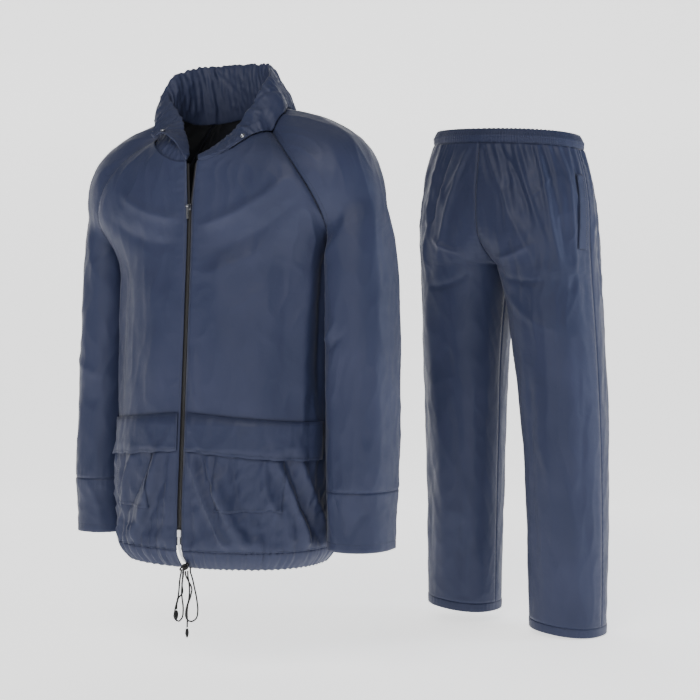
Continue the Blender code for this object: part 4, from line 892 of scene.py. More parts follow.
def collar_section(row, seam_at, side, cloth):
    """A closed outline: outer face from the low edge up, over the fold, down inside, and below."""
    seat = seam_at * (COLLAR_INSET, COLLAR_INSET, 1) + (0, 0, COLLAR_SEAT)
    away = seat * (1, 1, 0) / np.linalg.norm(seat[:2])
    low = np.array([row.low_x, row.low_y, row.low_z])
    low = low + away * max(0.0, COLLAR_FOOT - (low - seat) @ away)
    low = rest_on(cloth, low, side)
    top = np.array([row.top_x, row.top_y, row.top_z])
    rise = top - low
    up = rise / np.linalg.norm(rise)
    round_neck = np.array([-row.low_y, row.low_x, 0.0])
    out = np.cross(round_neck, up)
    out /= np.linalg.norm(out)
    outline = [low]
    for share, swell in ((0.28, 0.85), (0.58, 1.0), (0.84, 0.75)):
        outline.append(low + rise * share + out * row.puff * swell)
    outline.append(top + out * row.puff * 0.15)
    down = seat - top
    for share, swell in ((0.12, 0.55), (0.42, 0.75), (0.75, 0.45)):
        outline.append(top + down * share - out * row.puff * swell)
    outline.append(seat)
    for share in (0.25, 0.5, 0.75):
        under = seat + (low - seat) * share
        hollow = row.hollow * math.sin(math.pi * share)
        outline.append(rest_on(cloth, under * (1 - hollow) + top * hollow, side))
    return np.array(outline) * (side, 1, 1)


def collar_outline(table, side, s, seam, cloth):
    """The collar's section at a place along half of the neck seam."""
    share, line = seam
    row = Collar(*[float(column(table, "s", name, s)) for name in Collar._fields])
    along = COLLAR_START + (1 - COLLAR_START) * s
    seam_at = np.array([np.interp(along, share, line[:, axis]) for axis in range(3)])
    return collar_section(row, seam_at, side, cloth)


def under_knot(turned, at):
    """The height just under the knot where a cord's flat end meets it."""
    local = turned.inverted() @ Vector((at.x, at.y, 0))
    lowest = 1.0
    for side_x, side_y in ((0, 0), (1, 0), (-1, 0), (0, 1), (0, -1)):
        share_x = (local.x - KNOT[0] + side_x * CORD / 2) / KNOT_RADII[0]
        share_y = (local.y - KNOT[1] + side_y * CORD / 2) / KNOT_RADII[1]
        drop = math.sqrt(max(0.0, 1 - share_x**2 - share_y**2)) * KNOT_RADII[2]
        lowest = min(lowest, KNOT[2] - drop - SEAM_GAP)
    return Point(at.x, at.y, lowest)


def smooth_route(points, count):
    """Even points on a smooth curve through a cord's route."""
    rows = np.array(points)
    step = np.concatenate([[0], np.cumsum(np.linalg.norm(np.diff(rows, axis=0), axis=1))])
    Row = namedtuple("Row", "s x y z")
    table = [Row(s, *row) for s, row in zip(step, rows)]
    at = np.linspace(0, step[-1], count)
    return np.stack([column(table, "s", axis, at) for axis in "xyz"], axis=-1)


def rounded_step(value):
    """Smooth rise from 0 to 1."""
    held = np.clip(value, 0, 1)
    return held * held * (3 - 2 * held)


def run_along(grid, axis):
    """Distance from the first point of each line of a grid, along one of its directions."""
    step = np.linalg.norm(np.diff(grid, axis=axis), axis=2)
    total = np.cumsum(step, axis=axis)
    start = np.zeros_like(np.take(total, [0], axis=axis))
    return np.concatenate([start, total], axis=axis)


def outward(grid, axis_at):
    """Unit normals of a grid, facing away from the upright line at axis_at."""
    across = np.gradient(grid, axis=1)
    up = np.gradient(grid, axis=0)
    normal = np.cross(across, up)
    normal /= np.linalg.norm(normal, axis=2, keepdims=True) + 1e-12
    away = (grid - np.array([axis_at[0], axis_at[1], 0.0])) * (1, 1, 0)
    return normal if (normal * away).sum() >= 0 else -normal


def crease_height(creases, u, v):
    """How far listed creases push the cloth out at each point."""
    height = np.zeros_like(u)
    for crease in creases:
        run = np.array([crease.u1 - crease.u0, crease.v1 - crease.v0])
        length = np.hypot(*run)
        along = ((u - crease.u0) * run[0] + (v - crease.v0) * run[1]) / length**2
        across = ((u - crease.u0) * run[1] - (v - crease.v0) * run[0]) / length
        held = np.clip(along, 0, 1)
        across = across - crease.bow * 4 * held * (1 - held)
        ends = rounded_step((along + 0.15) / 0.3) * rounded_step((1.2 - along) / 0.45)
        height += crease.height * ends * np.exp(-(np.abs(across / crease.width) ** 1.6))
    return height


def scattered(seed, count, across, up, lean, length, width, height):
    """Seeded small creases, unevenly placed, that follow one main direction.

    They start within across and up, lean by about lean radians from straight down, and are about
    length long, width wide and at most height high or deep.
    """
    pick = np.random.default_rng(seed)
    made = []
    for _ in range(count):
        u = pick.uniform(min(across), max(across))
        v = pick.uniform(min(up), max(up))
        turn = lean + pick.normal(0, 0.35)
        long = length * pick.uniform(0.5, 1.5)
        size = height * pick.uniform(0.3, 1.0) * pick.choice([-1, 1])
        end = (u + long * math.sin(turn), v - long * math.cos(turn))
        bow = long * pick.normal(0, 0.06)
        made.append(Crease(u, v, *end, bow, width * pick.uniform(0.6, 1.5), size))
    return made


def crumpled(u, v, seed, size, stretch):
    """A seeded field of soft waves with sharper crests, about 1 high."""
    pick = np.random.default_rng(seed)
    total = np.zeros_like(u)
    for _ in range(16):
        turn = pick.uniform(0, math.pi)
        wave = size * pick.uniform(0.6, 1.8)
        phase = pick.uniform(0, 2 * math.pi)
        along = u * math.cos(turn) / stretch[0] + v * math.sin(turn) / stretch[1]
        total += np.cos(2 * math.pi * along / wave + phase)
    return 1 - 1.6 * np.abs(np.tanh(total / 3.0))


def eased(grid, level, reach, hold):
    """Smooths the rows near one level, so that no ridge runs across the cloth there."""
    near = np.exp(-(((grid[..., 2] - level) / reach) ** 2)) * hold
    for _ in range(UNDERARM_ROUNDS):
        middle = (grid[:-2] + grid[2:]) / 2
        grid[1:-1] += (middle - grid[1:-1]) * near[1:-1, :, None]
    return grid


def uneven_wave(at, seed, spacing):
    """Gathers of uneven width and height along a seam, from -1 to 1."""
    pick = np.random.default_rng(seed)
    drift = np.zeros_like(at)
    swell = np.zeros_like(at)
    for share in (3.1, 5.3, 8.7, 13.9):
        drift += pick.uniform(0.5, 1.2) * np.sin(at / (spacing * share) + pick.uniform(0, 6))
        swell += 0.28 * np.sin(at / (spacing * share * 0.7) + pick.uniform(0, 6))
    wave = np.sin(2 * math.pi * at / spacing + 1.6 * drift)
    return wave * np.clip(0.75 + swell, 0.15, 1.3)


def round_body(points):
    """Distance round the body from the zip, for gathers that have to match between pieces."""
    return np.arctan2(points[..., 0], -points[..., 1]) * BODY_RADIUS


def hem_gather(points, drop, seed):
    """Gathers that the drawcord pulls into the cloth above the hem tunnel."""
    at = round_body(points)
    small = uneven_wave(at, seed, 0.0235)
    tiny = uneven_wave(at, seed + 1, 0.0092)
    broad = 0.0030 * small * np.exp(-((drop / 0.055) ** 2))
    return broad + 0.0011 * tiny * np.exp(-(drop / 0.016))


def pucker(along, distance, seed, spacing=0.0095, height=0.0012):
    """The small crimps beside a sewn seam: nothing on the seam, most a few mm away."""
    near = distance / 0.006
    return height * near * np.exp(1 - near) * (0.55 + 0.75 * uneven_wave(along, seed, spacing))


class Cloth:
    """A shaped piece: its grid in the garment's frame, its normals, and distances over it."""

    def __init__(self, grid, axis_at):
        self.grid = grid
        self.axis_at = axis_at
        self.normal = outward(grid, axis_at)
        self.across = run_along(grid, 1)
        self.up = run_along(grid, 0)

    def edge(self, side):
        """Distance over the cloth from one of its four edges."""
        if side == "first":
            return self.across
        if side == "last":
            return self.across[:, -1:] - self.across
        if side == "bottom":
            return self.up
        return self.up[-1:] - self.up

    def fade(self, sides):
        """Sinks folds to nothing at some of its edges."""
        held = np.ones(self.grid.shape[:2])
        for side in sides:
            held = held * rounded_step(self.edge(side) / EDGE_FADE)
        return held

    def push(self, height):
        """Moves each point out by its height."""
        self.grid = self.grid + self.normal * height[..., None]
        return self

    def finished(self, mirror):
        """The piece on its own side of the body, with the normals of its final shape."""
        self.grid = flipped(self.grid, mirror)
        middle_x = -self.axis_at[0] if mirror else self.axis_at[0]
        self.normal = outward(self.grid, (middle_x, self.axis_at[1]))
        return self


def flipped(points, mirror):
    """The same points, on the wearer's right side where mirror is true."""
    return points * (-1, 1, 1) if mirror else points


def level_normal(grid):
    """Level directions that point away from the upright middle line."""
    level = grid * (1, 1, 0)
    return level / (np.linalg.norm(level, axis=2, keepdims=True) + 1e-9)


def smooth_cloth(grid, axis_at):
    """A piece of cloth with no ridge across it at the underarm."""
    plain = Cloth(grid, axis_at)
    held = plain.fade(("first", "last"))
    return Cloth(eased(plain.grid, UNDERARM, UNDERARM_REACH, held), axis_at)


def ring_fade(cloth):
    """Sinks folds to nothing where a piece closes on itself."""
    return rounded_step(np.minimum(cloth.edge("first"), cloth.edge("last")) / END_FADE)


def edit_mesh(mesh, edit):
    """Runs one edit on the mesh and writes it back."""
    model = bmesh.new()
    model.from_mesh(mesh)
    edit(model)
    model.to_mesh(mesh)
    model.free()


def merge_points(model):
    """Joins points that lie on each other, as where a tube closes."""
    bmesh.ops.remove_doubles(model, verts=model.verts[:], dist=1e-5)


def face_outwards(model):
    """Turns all faces outwards."""
    bmesh.ops.recalc_face_normals(model, faces=model.faces[:])


def close_ends(model):
    """Fills the open ends and turns all faces outwards."""
    bmesh.ops.holes_fill(model, edges=[edge for edge in model.edges if edge.is_boundary], sides=0)
    face_outwards(model)


def to_jacket(points):
    """From the jacket's frame to the row's."""
    turned = np.array(Matrix.Rotation(JACKET_TURN, 3, "Z"))
    return np.asarray(points) @ turned.T


def to_trousers(points):
    """From the trousers' frame to the row's, with their sway and lean."""
    points = np.array(points, float)
    points[..., 0] += column(SWAY, "z", "shift", points[..., 2])
    points[..., 2] -= TROUSERS_LEAN * points[..., 0]
    turned = np.array(Matrix.Rotation(TROUSERS_TURN, 3, "Z"))
    return points @ turned.T + np.array(TROUSERS_PLACE)


def link(name, mesh, finishes, nodes=()):
    """An object that rides on the suit, stands for its nodes and takes its finish from a slot."""
    for finish in finishes:
        mesh.materials.append(finish)
    made = bpy.data.objects.new(name, mesh)
    bpy.context.scene.collection.objects.link(made)
    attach(made, "suit")
    if nodes:
        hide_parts(*nodes)
    return made


def cloth_mesh(name, points, across, up, facing):
    """A quad mesh on a grid, with the cloth's own distances as its texture map."""
    rows, columns = points.shape[:2]
    index = np.arange(rows * columns).reshape(rows, columns)
    quads = np.stack([index[:-1, :-1], index[:-1, 1:], index[1:, 1:], index[1:, :-1]], axis=-1)
    quads = quads.reshape(-1, 4)
    flat = points.reshape(-1, 3)
    middle = quads[len(quads) // 2 + columns // 3]
    made_normal = np.cross(flat[middle[2]] - flat[middle[0]], flat[middle[3]] - flat[middle[1]])
    if made_normal @ facing.reshape(-1, 3)[middle[0]] < 0:
        quads = quads[:, ::-1]
    mesh = bpy.data.meshes.new(name)
    mesh.from_pydata(flat.tolist(), [], quads.tolist())
    layer = mesh.uv_layers.new(name="cloth")
    map_points = np.stack([across.reshape(-1), up.reshape(-1)], axis=-1)
    layer.data.foreach_set("uv", map_points[quads.reshape(-1)].astype(np.float32).reshape(-1))
    edit_mesh(mesh, merge_points)
    mesh.shade_smooth()
    return mesh


def add_wall(made, thickness, inside=0):
    """Gives a sheet its thickness inwards, with the finish at place inside on its inner face."""
    wall = made.modifiers.new("wall", "SOLIDIFY")
    wall.thickness = thickness
    wall.offset = -1.0
    wall.material_offset = inside


def sew_cloth(name, cloth, to_row, finishes, nodes):
    """Makes a shaped piece of cloth and works out the width, length and area of its cut, which nothing
    uses.
    """
    world = to_row(cloth.grid)
    facing = to_row(cloth.grid + cloth.normal * 0.001) - world
    mesh = cloth_mesh(name, world, cloth.across, cloth.up, facing)
    # The inner face gets the near-black finish, which is painted shade for the dark inside
    made = link(name, mesh, [finishes["nylon"], finishes["inside_painted_shade"]], nodes)
    add_wall(made, SHELL, inside=1)
    width = float(run_along(world, 1)[:, -1].max())
    length = float(run_along(world, 0)[-1].max())
    across = np.linalg.norm(np.diff(world, axis=1), axis=2)
    up = np.linalg.norm(np.diff(world, axis=0), axis=2)
    area = float(((across[:-1] + across[1:]) / 2 * (up[:, :-1] + up[:, 1:]) / 2).sum())
    area = min(area, width * length)


class Stitches:
    """Short raised threads gathered into one mesh."""

    def __init__(self):
        self.points = []
        self.faces = []

    def row(self, line, normals):
        """A row of stitches along a line on the cloth."""
        step = np.linalg.norm(np.diff(line, axis=0), axis=1)
        run = np.concatenate([[0], np.cumsum(step)])
        starts = np.arange(STITCH_PITCH / 2, run[-1] - STITCH_PITCH, STITCH_PITCH)
        for start in starts:
            ends = []
            for at in (start, start + STITCH / 2, start + STITCH):
                ends.append([np.interp(at, run, line[:, k]) for k in range(3)])
            ends = np.array(ends)
            up = np.array([np.interp(start, run, normals[:, k]) for k in range(3)])
            ahead = ends[2] - ends[0]
            side = np.cross(ahead, up)
            side /= np.linalg.norm(side) + 1e-12
            base = len(self.points)
            for end, high in zip(ends, (0.2, 1.0, 0.2)):
                self.points.append(end - side * STITCH_WIDE / 2)
                self.points.append(end + up * (STITCH_LIFT + STITCH_WIDE * 0.6) * high)
                self.points.append(end + side * STITCH_WIDE / 2)
            for k in (0, 3):
                a = base + k
                self.faces.append((a, a + 1, a + 4, a + 3))
                self.faces.append((a + 1, a + 2, a + 5, a + 4))
                self.faces.append((a + 2, a, a + 3, a + 5))
            self.faces += [(base, base + 2, base + 1), (base + 6, base + 7, base + 8)]

    def make(self, name, finish, to_row):
        """Adds the stitches to the scene as one piece."""
        world = to_row(np.array(self.points))
        mesh = bpy.data.meshes.new(name)
        mesh.from_pydata(world.tolist(), [], self.faces)
        link(name, mesh, [finish])


def inset_line(cloth, side, distance, rows=slice(None)):
    """Points and normals on a line that runs a set distance inside one edge of a piece."""
    from_edge = cloth.edge(side)
    by_row = side in ("first", "last")
    points = []
    normals = []
    count = cloth.grid.shape[0 if by_row else 1]
    for k in range(count)[rows]:
        run = from_edge[k] if by_row else from_edge[:, k]
        line = cloth.grid[k] if by_row else cloth.grid[:, k]
        facing = cloth.normal[k] if by_row else cloth.normal[:, k]
        if side in ("last", "top"):
            run, line, facing = run[::-1], line[::-1], facing[::-1]
        points.append([np.interp(distance, run, line[:, axis]) for axis in range(3)])
        normals.append([np.interp(distance, run, facing[:, axis]) for axis in range(3)])
    return np.array(points), np.array(normals)


def shape_front(creases, seed, mirror):
    """A front with its creases, puckers and the hem's gathers."""
    cloth = smooth_cloth(front_grid(), (0, 0))
    u = cloth.across
    v = cloth.grid[..., 2]
    drop = np.clip(v - HEM_SEAM, 0, None)
    outline = level_normal(cloth.grid)
    gather = hem_gather(flipped(cloth.grid, mirror), drop, HEM_SEED)
    small = scattered(seed, 46, (0.02, 0.29), (-0.60, -0.74), 0.25, 0.055, 0.0040, 0.0022)
    small += scattered(seed + 1, 24, (0.02, 0.28), (-0.14, -0.52), 0.1, 0.10, 0.012, 0.0012)
    height = FRONT_GAIN * crease_height(creases, u, v) + crease_height(small, u, v)
    height += 0.0008 * crumpled(u, v, seed + 2, 0.060, (0.8, 1.5))
    height += 0.0016 * crumpled(u, v, seed + 3, 0.030, (0.8, 1.3)) * rounded_step((-0.585 - v) / 0.03)
    height *= cloth.fade(("first", "last", "bottom", "top"))
    cap = v > CAP_START
    height += np.where(cap, pucker(cloth.up, cloth.edge("last"), seed + 4), 0)
    height += pucker(cloth.up, cloth.edge("first"), seed + 5, 0.016, 0.0006)
    cloth.push(height)
    closed = rounded_step(cloth.edge("first") / 0.006)
    cloth.grid = cloth.grid + outline * (gather * closed)[..., None]
    return cloth.finished(mirror)


def shape_back():
    """The back with its creases, puckers and the hem's gathers."""
    cloth = smooth_cloth(back_grid(), (0, 0))
    u = cloth.across - cloth.across[:, -1:] / 2
    v = cloth.grid[..., 2]
    drop = np.clip(v - HEM_SEAM, 0, None)
    outline = level_normal(cloth.grid)
    small = scattered(31, 70, (-0.28, 0.28), (-0.58, -0.74), 0.0, 0.06, 0.005, 0.0022)
    small += scattered(32, 40, (-0.26, 0.26), (-0.10, -0.55), 0.0, 0.12, 0.013, 0.0016)
    height = crease_height(BACK_CREASES, u, v) + crease_height(small, u, v)
    height += 0.0010 * crumpled(u, v, 33, 0.06, (0.9, 1.4))
    height *= cloth.fade(("first", "last", "bottom", "top"))
    cap = v > CAP_START
    for side, seed in (("first", 34), ("last", 35)):
        height += np.where(cap, pucker(cloth.up, cloth.edge(side), seed), 0)
    cloth.push(height)
    cloth.grid = cloth.grid + outline * hem_gather(cloth.grid, drop, HEM_SEED)[..., None]
    return cloth.finished(False)


def shape_hem_band():
    """The gathered tunnel round the hem, open at the zip."""
    turn = np.linspace(HEM_SLOT, 1 - HEM_SLOT, HEM_STEPS + 1)
    angle = 2 * math.pi * turn - math.pi / 2
    rows = []
    for z in np.linspace(HEM_BOTTOM, HEM_SEAM, HEM_ROWS + 1):
        half_width = float(column(BODY, "z", "half_width", z))
        depth = np.where(
            np.sin(angle) < 0,
            float(column(BODY, "z", "front", z)),
            float(column(BODY, "z", "back", z)),
        )
        x = half_width * power(np.cos(angle), ROUND)
        y = depth * power(np.sin(angle), ROUND)
        rows.append(np.stack([x, y, np.full_like(x, z)], axis=-1))
    cloth = Cloth(np.array(rows), (0, 0))
    share = np.linspace(0, 1, HEM_ROWS + 1)[:, None]
    at = round_body(cloth.grid)
    belly = np.sin(math.pi * share) ** 0.7
    drop = HEM_SEAM - cloth.grid[..., 2]
    gather = hem_gather(cloth.grid, drop * 0.6, HEM_SEED)
    gather += 0.0013 * uneven_wave(at, 8, 0.0125) * belly + 0.0014 * belly
    ends = rounded_step(cloth.edge("first") / END_FADE) * rounded_step(cloth.edge("last") / END_FADE)
    outline = level_normal(cloth.grid)
    cloth.grid = cloth.grid + outline * (gather * ends)[..., None]
    bottom = 0.0016 * uneven_wave(at, 9, 0.024) * (1 - share) ** 2
    cloth.grid[..., 2] += np.abs(bottom)
    return cloth.finished(False)


def shape_sleeve(table, pull, creases, seed, mirror):
    """A raglan sleeve with its creases and puckered seams."""
    cloth = smooth_cloth(sleeve_grid(table, pull), (SLEEVE_MIDDLE, 0))
    u = cloth.across - cloth.across[:, SLEEVE_STEPS // 2][:, None]
    v = cloth.grid[..., 2]
    small = scattered(seed, 30, (-0.17, 0.17), (-0.24, -0.62), 0.15, 0.08, 0.010, 0.0014)
    small += scattered(seed + 1, 16, (-0.17, 0.17), (-0.60, -0.64), 0.1, 0.035, 0.004, 0.0014)
    height = crease_height(creases, u, v) + crease_height(small, u, v)
    height += 0.0009 * crumpled(u, v, seed + 2, 0.055, (0.7, 1.6))
    tube = v < UNDERARM - 0.004
    ends = cloth.fade(("bottom", "top"))
    height *= ends * np.where(tube, 1.0, cloth.fade(("first", "last")))
    seam = ~tube
    for side, k in (("first", 3), ("last", 4)):
        height += np.where(seam, pucker(cloth.up, cloth.edge(side), seed + k), 0)
    height += pucker(cloth.across, cloth.edge("bottom"), seed + 5, 0.011, 0.0009)
    inner = np.minimum(cloth.edge("first"), cloth.edge("last")) < 1e-9
    height = np.where(inner, 0, height)
    height[tube] *= ring_fade(cloth)[tube]
    cloth.push(height)
    return cloth.finished(mirror)


def shape_cuff(table, creases, seed, mirror):
    """The deep hem of a sleeve, with a sewn groove."""
    turn = np.linspace(-1, 1, SLEEVE_STEPS + 1)
    levels = np.linspace(CUFF_BOTTOM, CUFF_SEAM, CUFF_ROWS + 1)
    cloth = Cloth(np.array([sleeve_row(table, z, turn) for z in levels]), (CUFF_MIDDLE, 0))
    u = cloth.across - cloth.across[:, SLEEVE_STEPS // 2][:, None]
    v = cloth.grid[..., 2]
    height = crease_height(creases, u, v) * rounded_step(cloth.edge("top") / EDGE_FADE)
    height += 0.0007 * crumpled(u, v, seed, 0.040, (0.8, 1.2)) * rounded_step(cloth.edge("top") / 0.01)
    height += pucker(cloth.across, cloth.edge("top"), seed + 1, 0.010, 0.0009)
    groove = np.exp(-(((cloth.edge("bottom") - GROOVE) / 0.0022) ** 2))
    height -= 0.0007 * groove * (0.6 + 0.5 * uneven_wave(u, seed + 2, 0.012))
    height *= ring_fade(cloth)
    cloth.push(height)
    return cloth.finished(mirror)


def laid_cloth(front, columns, bottom, top, clear, flare, creases, seed, mirror):
    """A flap or pocket bag that lies on the shaped front."""
    grid = laid_on(flipped(front.grid, mirror), columns, bottom, top, clear, flare)
    cloth = Cloth(grid, (0, 0))
    u = cloth.across + cloth.grid[:, :1, 0]
    v = cloth.grid[..., 2]
    height = crease_height(creases, u, v)
    height += 0.0005 * crumpled(u, v, seed, 0.035, (0.8, 1.2))
    height *= rounded_step(cloth.edge("top") / 0.008)
    height += pucker(cloth.across, cloth.edge("top"), seed + 1, 0.010, 0.0008)
    edge = np.minimum(cloth.edge("bottom"), np.minimum(cloth.edge("first"), cloth.edge("last")))
    height -= 0.0005 * np.exp(-(((edge - 0.004) / 0.0016) ** 2))
    cloth.push(height)
    cloth.grid[0, :, 2] += 0.0010 * uneven_wave(cloth.across[0], seed + 2, 0.045)
    return cloth.finished(mirror)


def resampled(outline, count):
    """A closed outline, smoothed and with more points."""
    loop = np.concatenate([outline[-3:], outline, outline[:4]])
    step = np.linalg.norm(np.diff(loop, axis=0), axis=1) ** 0.5
    run = np.concatenate([[0], np.cumsum(step)])
    Row = namedtuple("Row", "s x y z")
    table = [Row(s, *point) for s, point in zip(run, loop)]
    at = np.linspace(run[3], run[3 + len(outline)], count + 1)[:-1]
    return np.stack([column(table, "s", axis, at) for axis in "xyz"], axis=-1)


def shape_collar(seam, cloth):
    """The collar's rings from the left end of the zip to the right, with fine wrinkles."""
    order = [(COLLAR_LEFT, 1, k) for k in range(COLLAR_STATIONS + 1)]
    order += [(COLLAR_RIGHT, -1, k) for k in range(COLLAR_STATIONS - 1, -1, -1)]
    rings = []
    for table, side, k in order:
        outline = collar_outline(table, side, k / COLLAR_STATIONS, seam, cloth)
        rings.append(resampled(outline, COLLAR_ROUND))
    rings = np.array(rings)
    centre = rings.mean(axis=1, keepdims=True)
    along = run_along(centre, 0)
    around = run_along(np.concatenate([rings, rings[:, :1]], axis=1), 1)[:, :-1]
    across = np.gradient(rings, axis=0)
    turn = np.roll(rings, -1, axis=1) - np.roll(rings, 1, axis=1)
    normal = np.cross(across, turn)
    normal /= np.linalg.norm(normal, axis=2, keepdims=True) + 1e-12
    if (normal * (rings - centre)).sum() < 0:
        normal = -normal
    wide = np.broadcast_to(along, around.shape)
    total = float(wide.max())
    # The rolled hood inside pulls fine upright wrinkles into the cloth
    fine = 0.0011 * uneven_wave(wide + 0.10 * around, 51, 0.0115)
    fine += 0.0010 * crumpled(wide, around, 52, 0.016, (0.7, 2.2))
    fine += 0.0016 * crumpled(wide, around, 53, 0.040, (0.8, 1.6))
    wrinkles = scattered(54, 90, (0.05, total - 0.05), (0.24, 0.02), 0.15, 0.05, 0.0034, 0.0026)
    upright = crease_height(wrinkles, wide, around)
    under = around > around.max(axis=1, keepdims=True) * 0.86
    calm = rounded_step(np.minimum(wide, total - wide) / 0.05)
    height = (fine + upright) * calm * np.where(under, 0.15, 1.0)
    return rings + normal * height[..., None], wide, around, normal


def build_collar(seam, cloth, finishes):
    """The thick collar that the hood is rolled into."""
    rings, wide, around, normal = shape_collar(seam, cloth)
    closed = np.concatenate([rings, rings[:, :1]], axis=1)
    around = np.concatenate([around, around[:, -1:] * 2 - around[:, -2:-1]], axis=1)
    wide = np.concatenate([wide, wide[:, -1:]], axis=1)
    facing = np.concatenate([normal, normal[:, :1]], axis=1)
    mesh = cloth_mesh("collar_roll", to_jacket(closed), wide, around, to_jacket(facing))
    edit_mesh(mesh, close_ends)
    made = link("collar_roll", mesh, [finishes["nylon"]], ["jacket_collar"])
    return rings, normal


def ring_faces(rings, sides):
    """Faces between rings of points, and across both ends."""
    faces = []
    for i in range(rings - 1):
        for j in range(sides):
            a = i * sides + j
            b = i * sides + (j + 1) % sides
            faces.append((a, b, b + sides, a + sides))
    last = (rings - 1) * sides
    return [*faces, tuple(range(sides))[::-1], tuple(range(last, last + sides))]


def lathe(name, profile, at, facing, finish, nodes):
    """A turned piece: a profile of radius and height spun about facing."""
    steps = 40
    turn = Vector((0, 0, 1)).rotation_difference(Vector(facing)).to_matrix()
    angle = np.linspace(0, 2 * math.pi, steps, endpoint=False)
    rings = [[(r * math.cos(a), r * math.sin(a), h) for a in angle] for r, h in profile]
    points = [Vector(at) + turn @ Vector(point) for ring in rings for point in ring]
    mesh = bpy.data.meshes.new(name)
    mesh.from_pydata([tuple(point) for point in points], [], ring_faces(len(profile), steps))
    mesh.shade_smooth()
    link(name, mesh, [finish], nodes)


def build_studs(seam, cloth, finishes):
    """The two open press studs on the collar's front ends."""
    places = (("left", COLLAR_LEFT, 1, STUD_LEFT), ("right", COLLAR_RIGHT, -1, STUD_RIGHT))
    half = STUD_THICK / 2
    profile = [
        (STUD_RADIUS * 0.96, -half),
        (STUD_RADIUS, -half * 0.6),
        (STUD_RADIUS * 0.98, half * 0.1),
        (STUD_RADIUS * 0.80, half * 0.9),
        (STUD_RADIUS * 0.62, half * 0.9),
        (STUD_RADIUS * 0.52, half * 0.3),
        (STUD_RADIUS * 0.30, half * 0.3),
        (STUD_RADIUS * 0.22, half * 0.9),
    ]
    for name, table, side, s in places:
        outline = collar_outline(table, side, s, seam, cloth)
        beside = collar_outline(table, side, s + 0.01, seam, cloth)
        facing = np.cross(beside[1] - outline[1], outline[2] - outline[0]) * side
        facing /= np.linalg.norm(facing)
        at = to_jacket((outline[0] + outline[1]) / 2 + facing * STUD_OUT)
        nodes = ["jacket_stud_" + name]
        turned = to_jacket(facing)
        lathe("press_stud_" + name, profile, at, turned, finishes["metal"], nodes)


def ribbon(name, left, right, finish, nodes):
    """A flat woven strip of the jacket between two edges, its face forwards."""
    steps = np.linspace(0, 1, SHAPE_ROWS)[None, :, None]
    grid = left[:, None] * (1 - steps) + right[:, None] * steps
    cloth = Cloth(grid, (0.0, 0.3))
    world = to_jacket(grid)
    facing = to_jacket(grid + np.array([0, -0.001, 0])) - world
    mesh = cloth_mesh(name, world, cloth.across, cloth.up, facing)
    made = link(name, mesh, [finish], nodes)
    add_wall(made, TAPE_THICK)
    return made


def build_zip(finishes):
    """Tapes, a coil of separate teeth, and the loose white end of tape."""
    heights = np.linspace(ZIP_BOTTOM + TAPE_SHORT, NECK_FRONT - TAPE_SHORT, 120)
    middle = centre_line(heights, CLOTH + SEAM_GAP + ZIP_BACK)
    edge = zip_edge(heights) - ZIP_SLOT + TAPE_INNER
    for side, name in ((1, "left"), (-1, "right")):
        inner = middle + np.outer(edge * side, (1, 0, 0))
        outer = middle + np.outer((edge + TAPE_OUTER - TAPE_INNER) * side, (1, 0, 0))
        outer[:, 1] += TAPE_CURVE
        nodes = ["jacket_zip_tape_" + name]
        made = ribbon("zip_tape_" + name, inner, outer, finishes["tape"], nodes)
    build_teeth(finishes)
    heights = np.linspace(ZIP_BOTTOM - ZIP_BOX_HEIGHT - SEAM_GAP, TAPE_END_BOTTOM, 40)
    down = (heights[0] - heights) / (heights[0] - heights[-1])
    face = centre_line(heights)
    face[:, 0] = TAPE_END_DRIFT * down**TAPE_END_CURVE
    face[:, 1] -= TAPE_END_OUT + TAPE_END_LIFT * down
    aside = np.array([TAPE_END_HALF, 0, 0])
    nodes = ["jacket_zip_tape_end"]
    ribbon("zip_tape_end", face - aside, face + aside, finishes["white"], nodes)


def build_teeth(finishes):
    """Separate teeth on both sides, set half a pitch apart."""
    lowest = ZIP_BOTTOM + CHAIN_GAP + 0.001
    heights = np.arange(lowest, SLIDER_TOP - SLIDER_HEIGHT + 0.004, TOOTH_PITCH)
    points = []
    faces = []
    for face in centre_line(heights, ZIP_BACK):
        for side in (-1, 1):
            lift = TOOTH_PITCH / 2 if side > 0 else 0.0
            base = len(points)
            for share, half in ((0.16, 0.00052), (-0.55, 0.00060), (-1.0, 0.00038)):
                x = -share * CHAIN_HALF * side
                deep = 0.0 if share > -0.9 else 0.0004
                corners = ((-half, 0.0003 + deep), (0, deep), (half, 0.0003 + deep), (0, 0.0011))
                for high, out in corners:
                    points.append(face + (x, out, high + lift))
            faces += [tuple(base + k for k in corner) for corner in ring_faces(3, 4)]
    mesh = bpy.data.meshes.new("zip_coil")
    mesh.from_pydata(to_jacket(np.array(points)).tolist(), [], faces)
    edit_mesh(mesh, face_outwards)
    link("zip_coil", mesh, [finishes["coil"]], ["jacket_zip_teeth"])


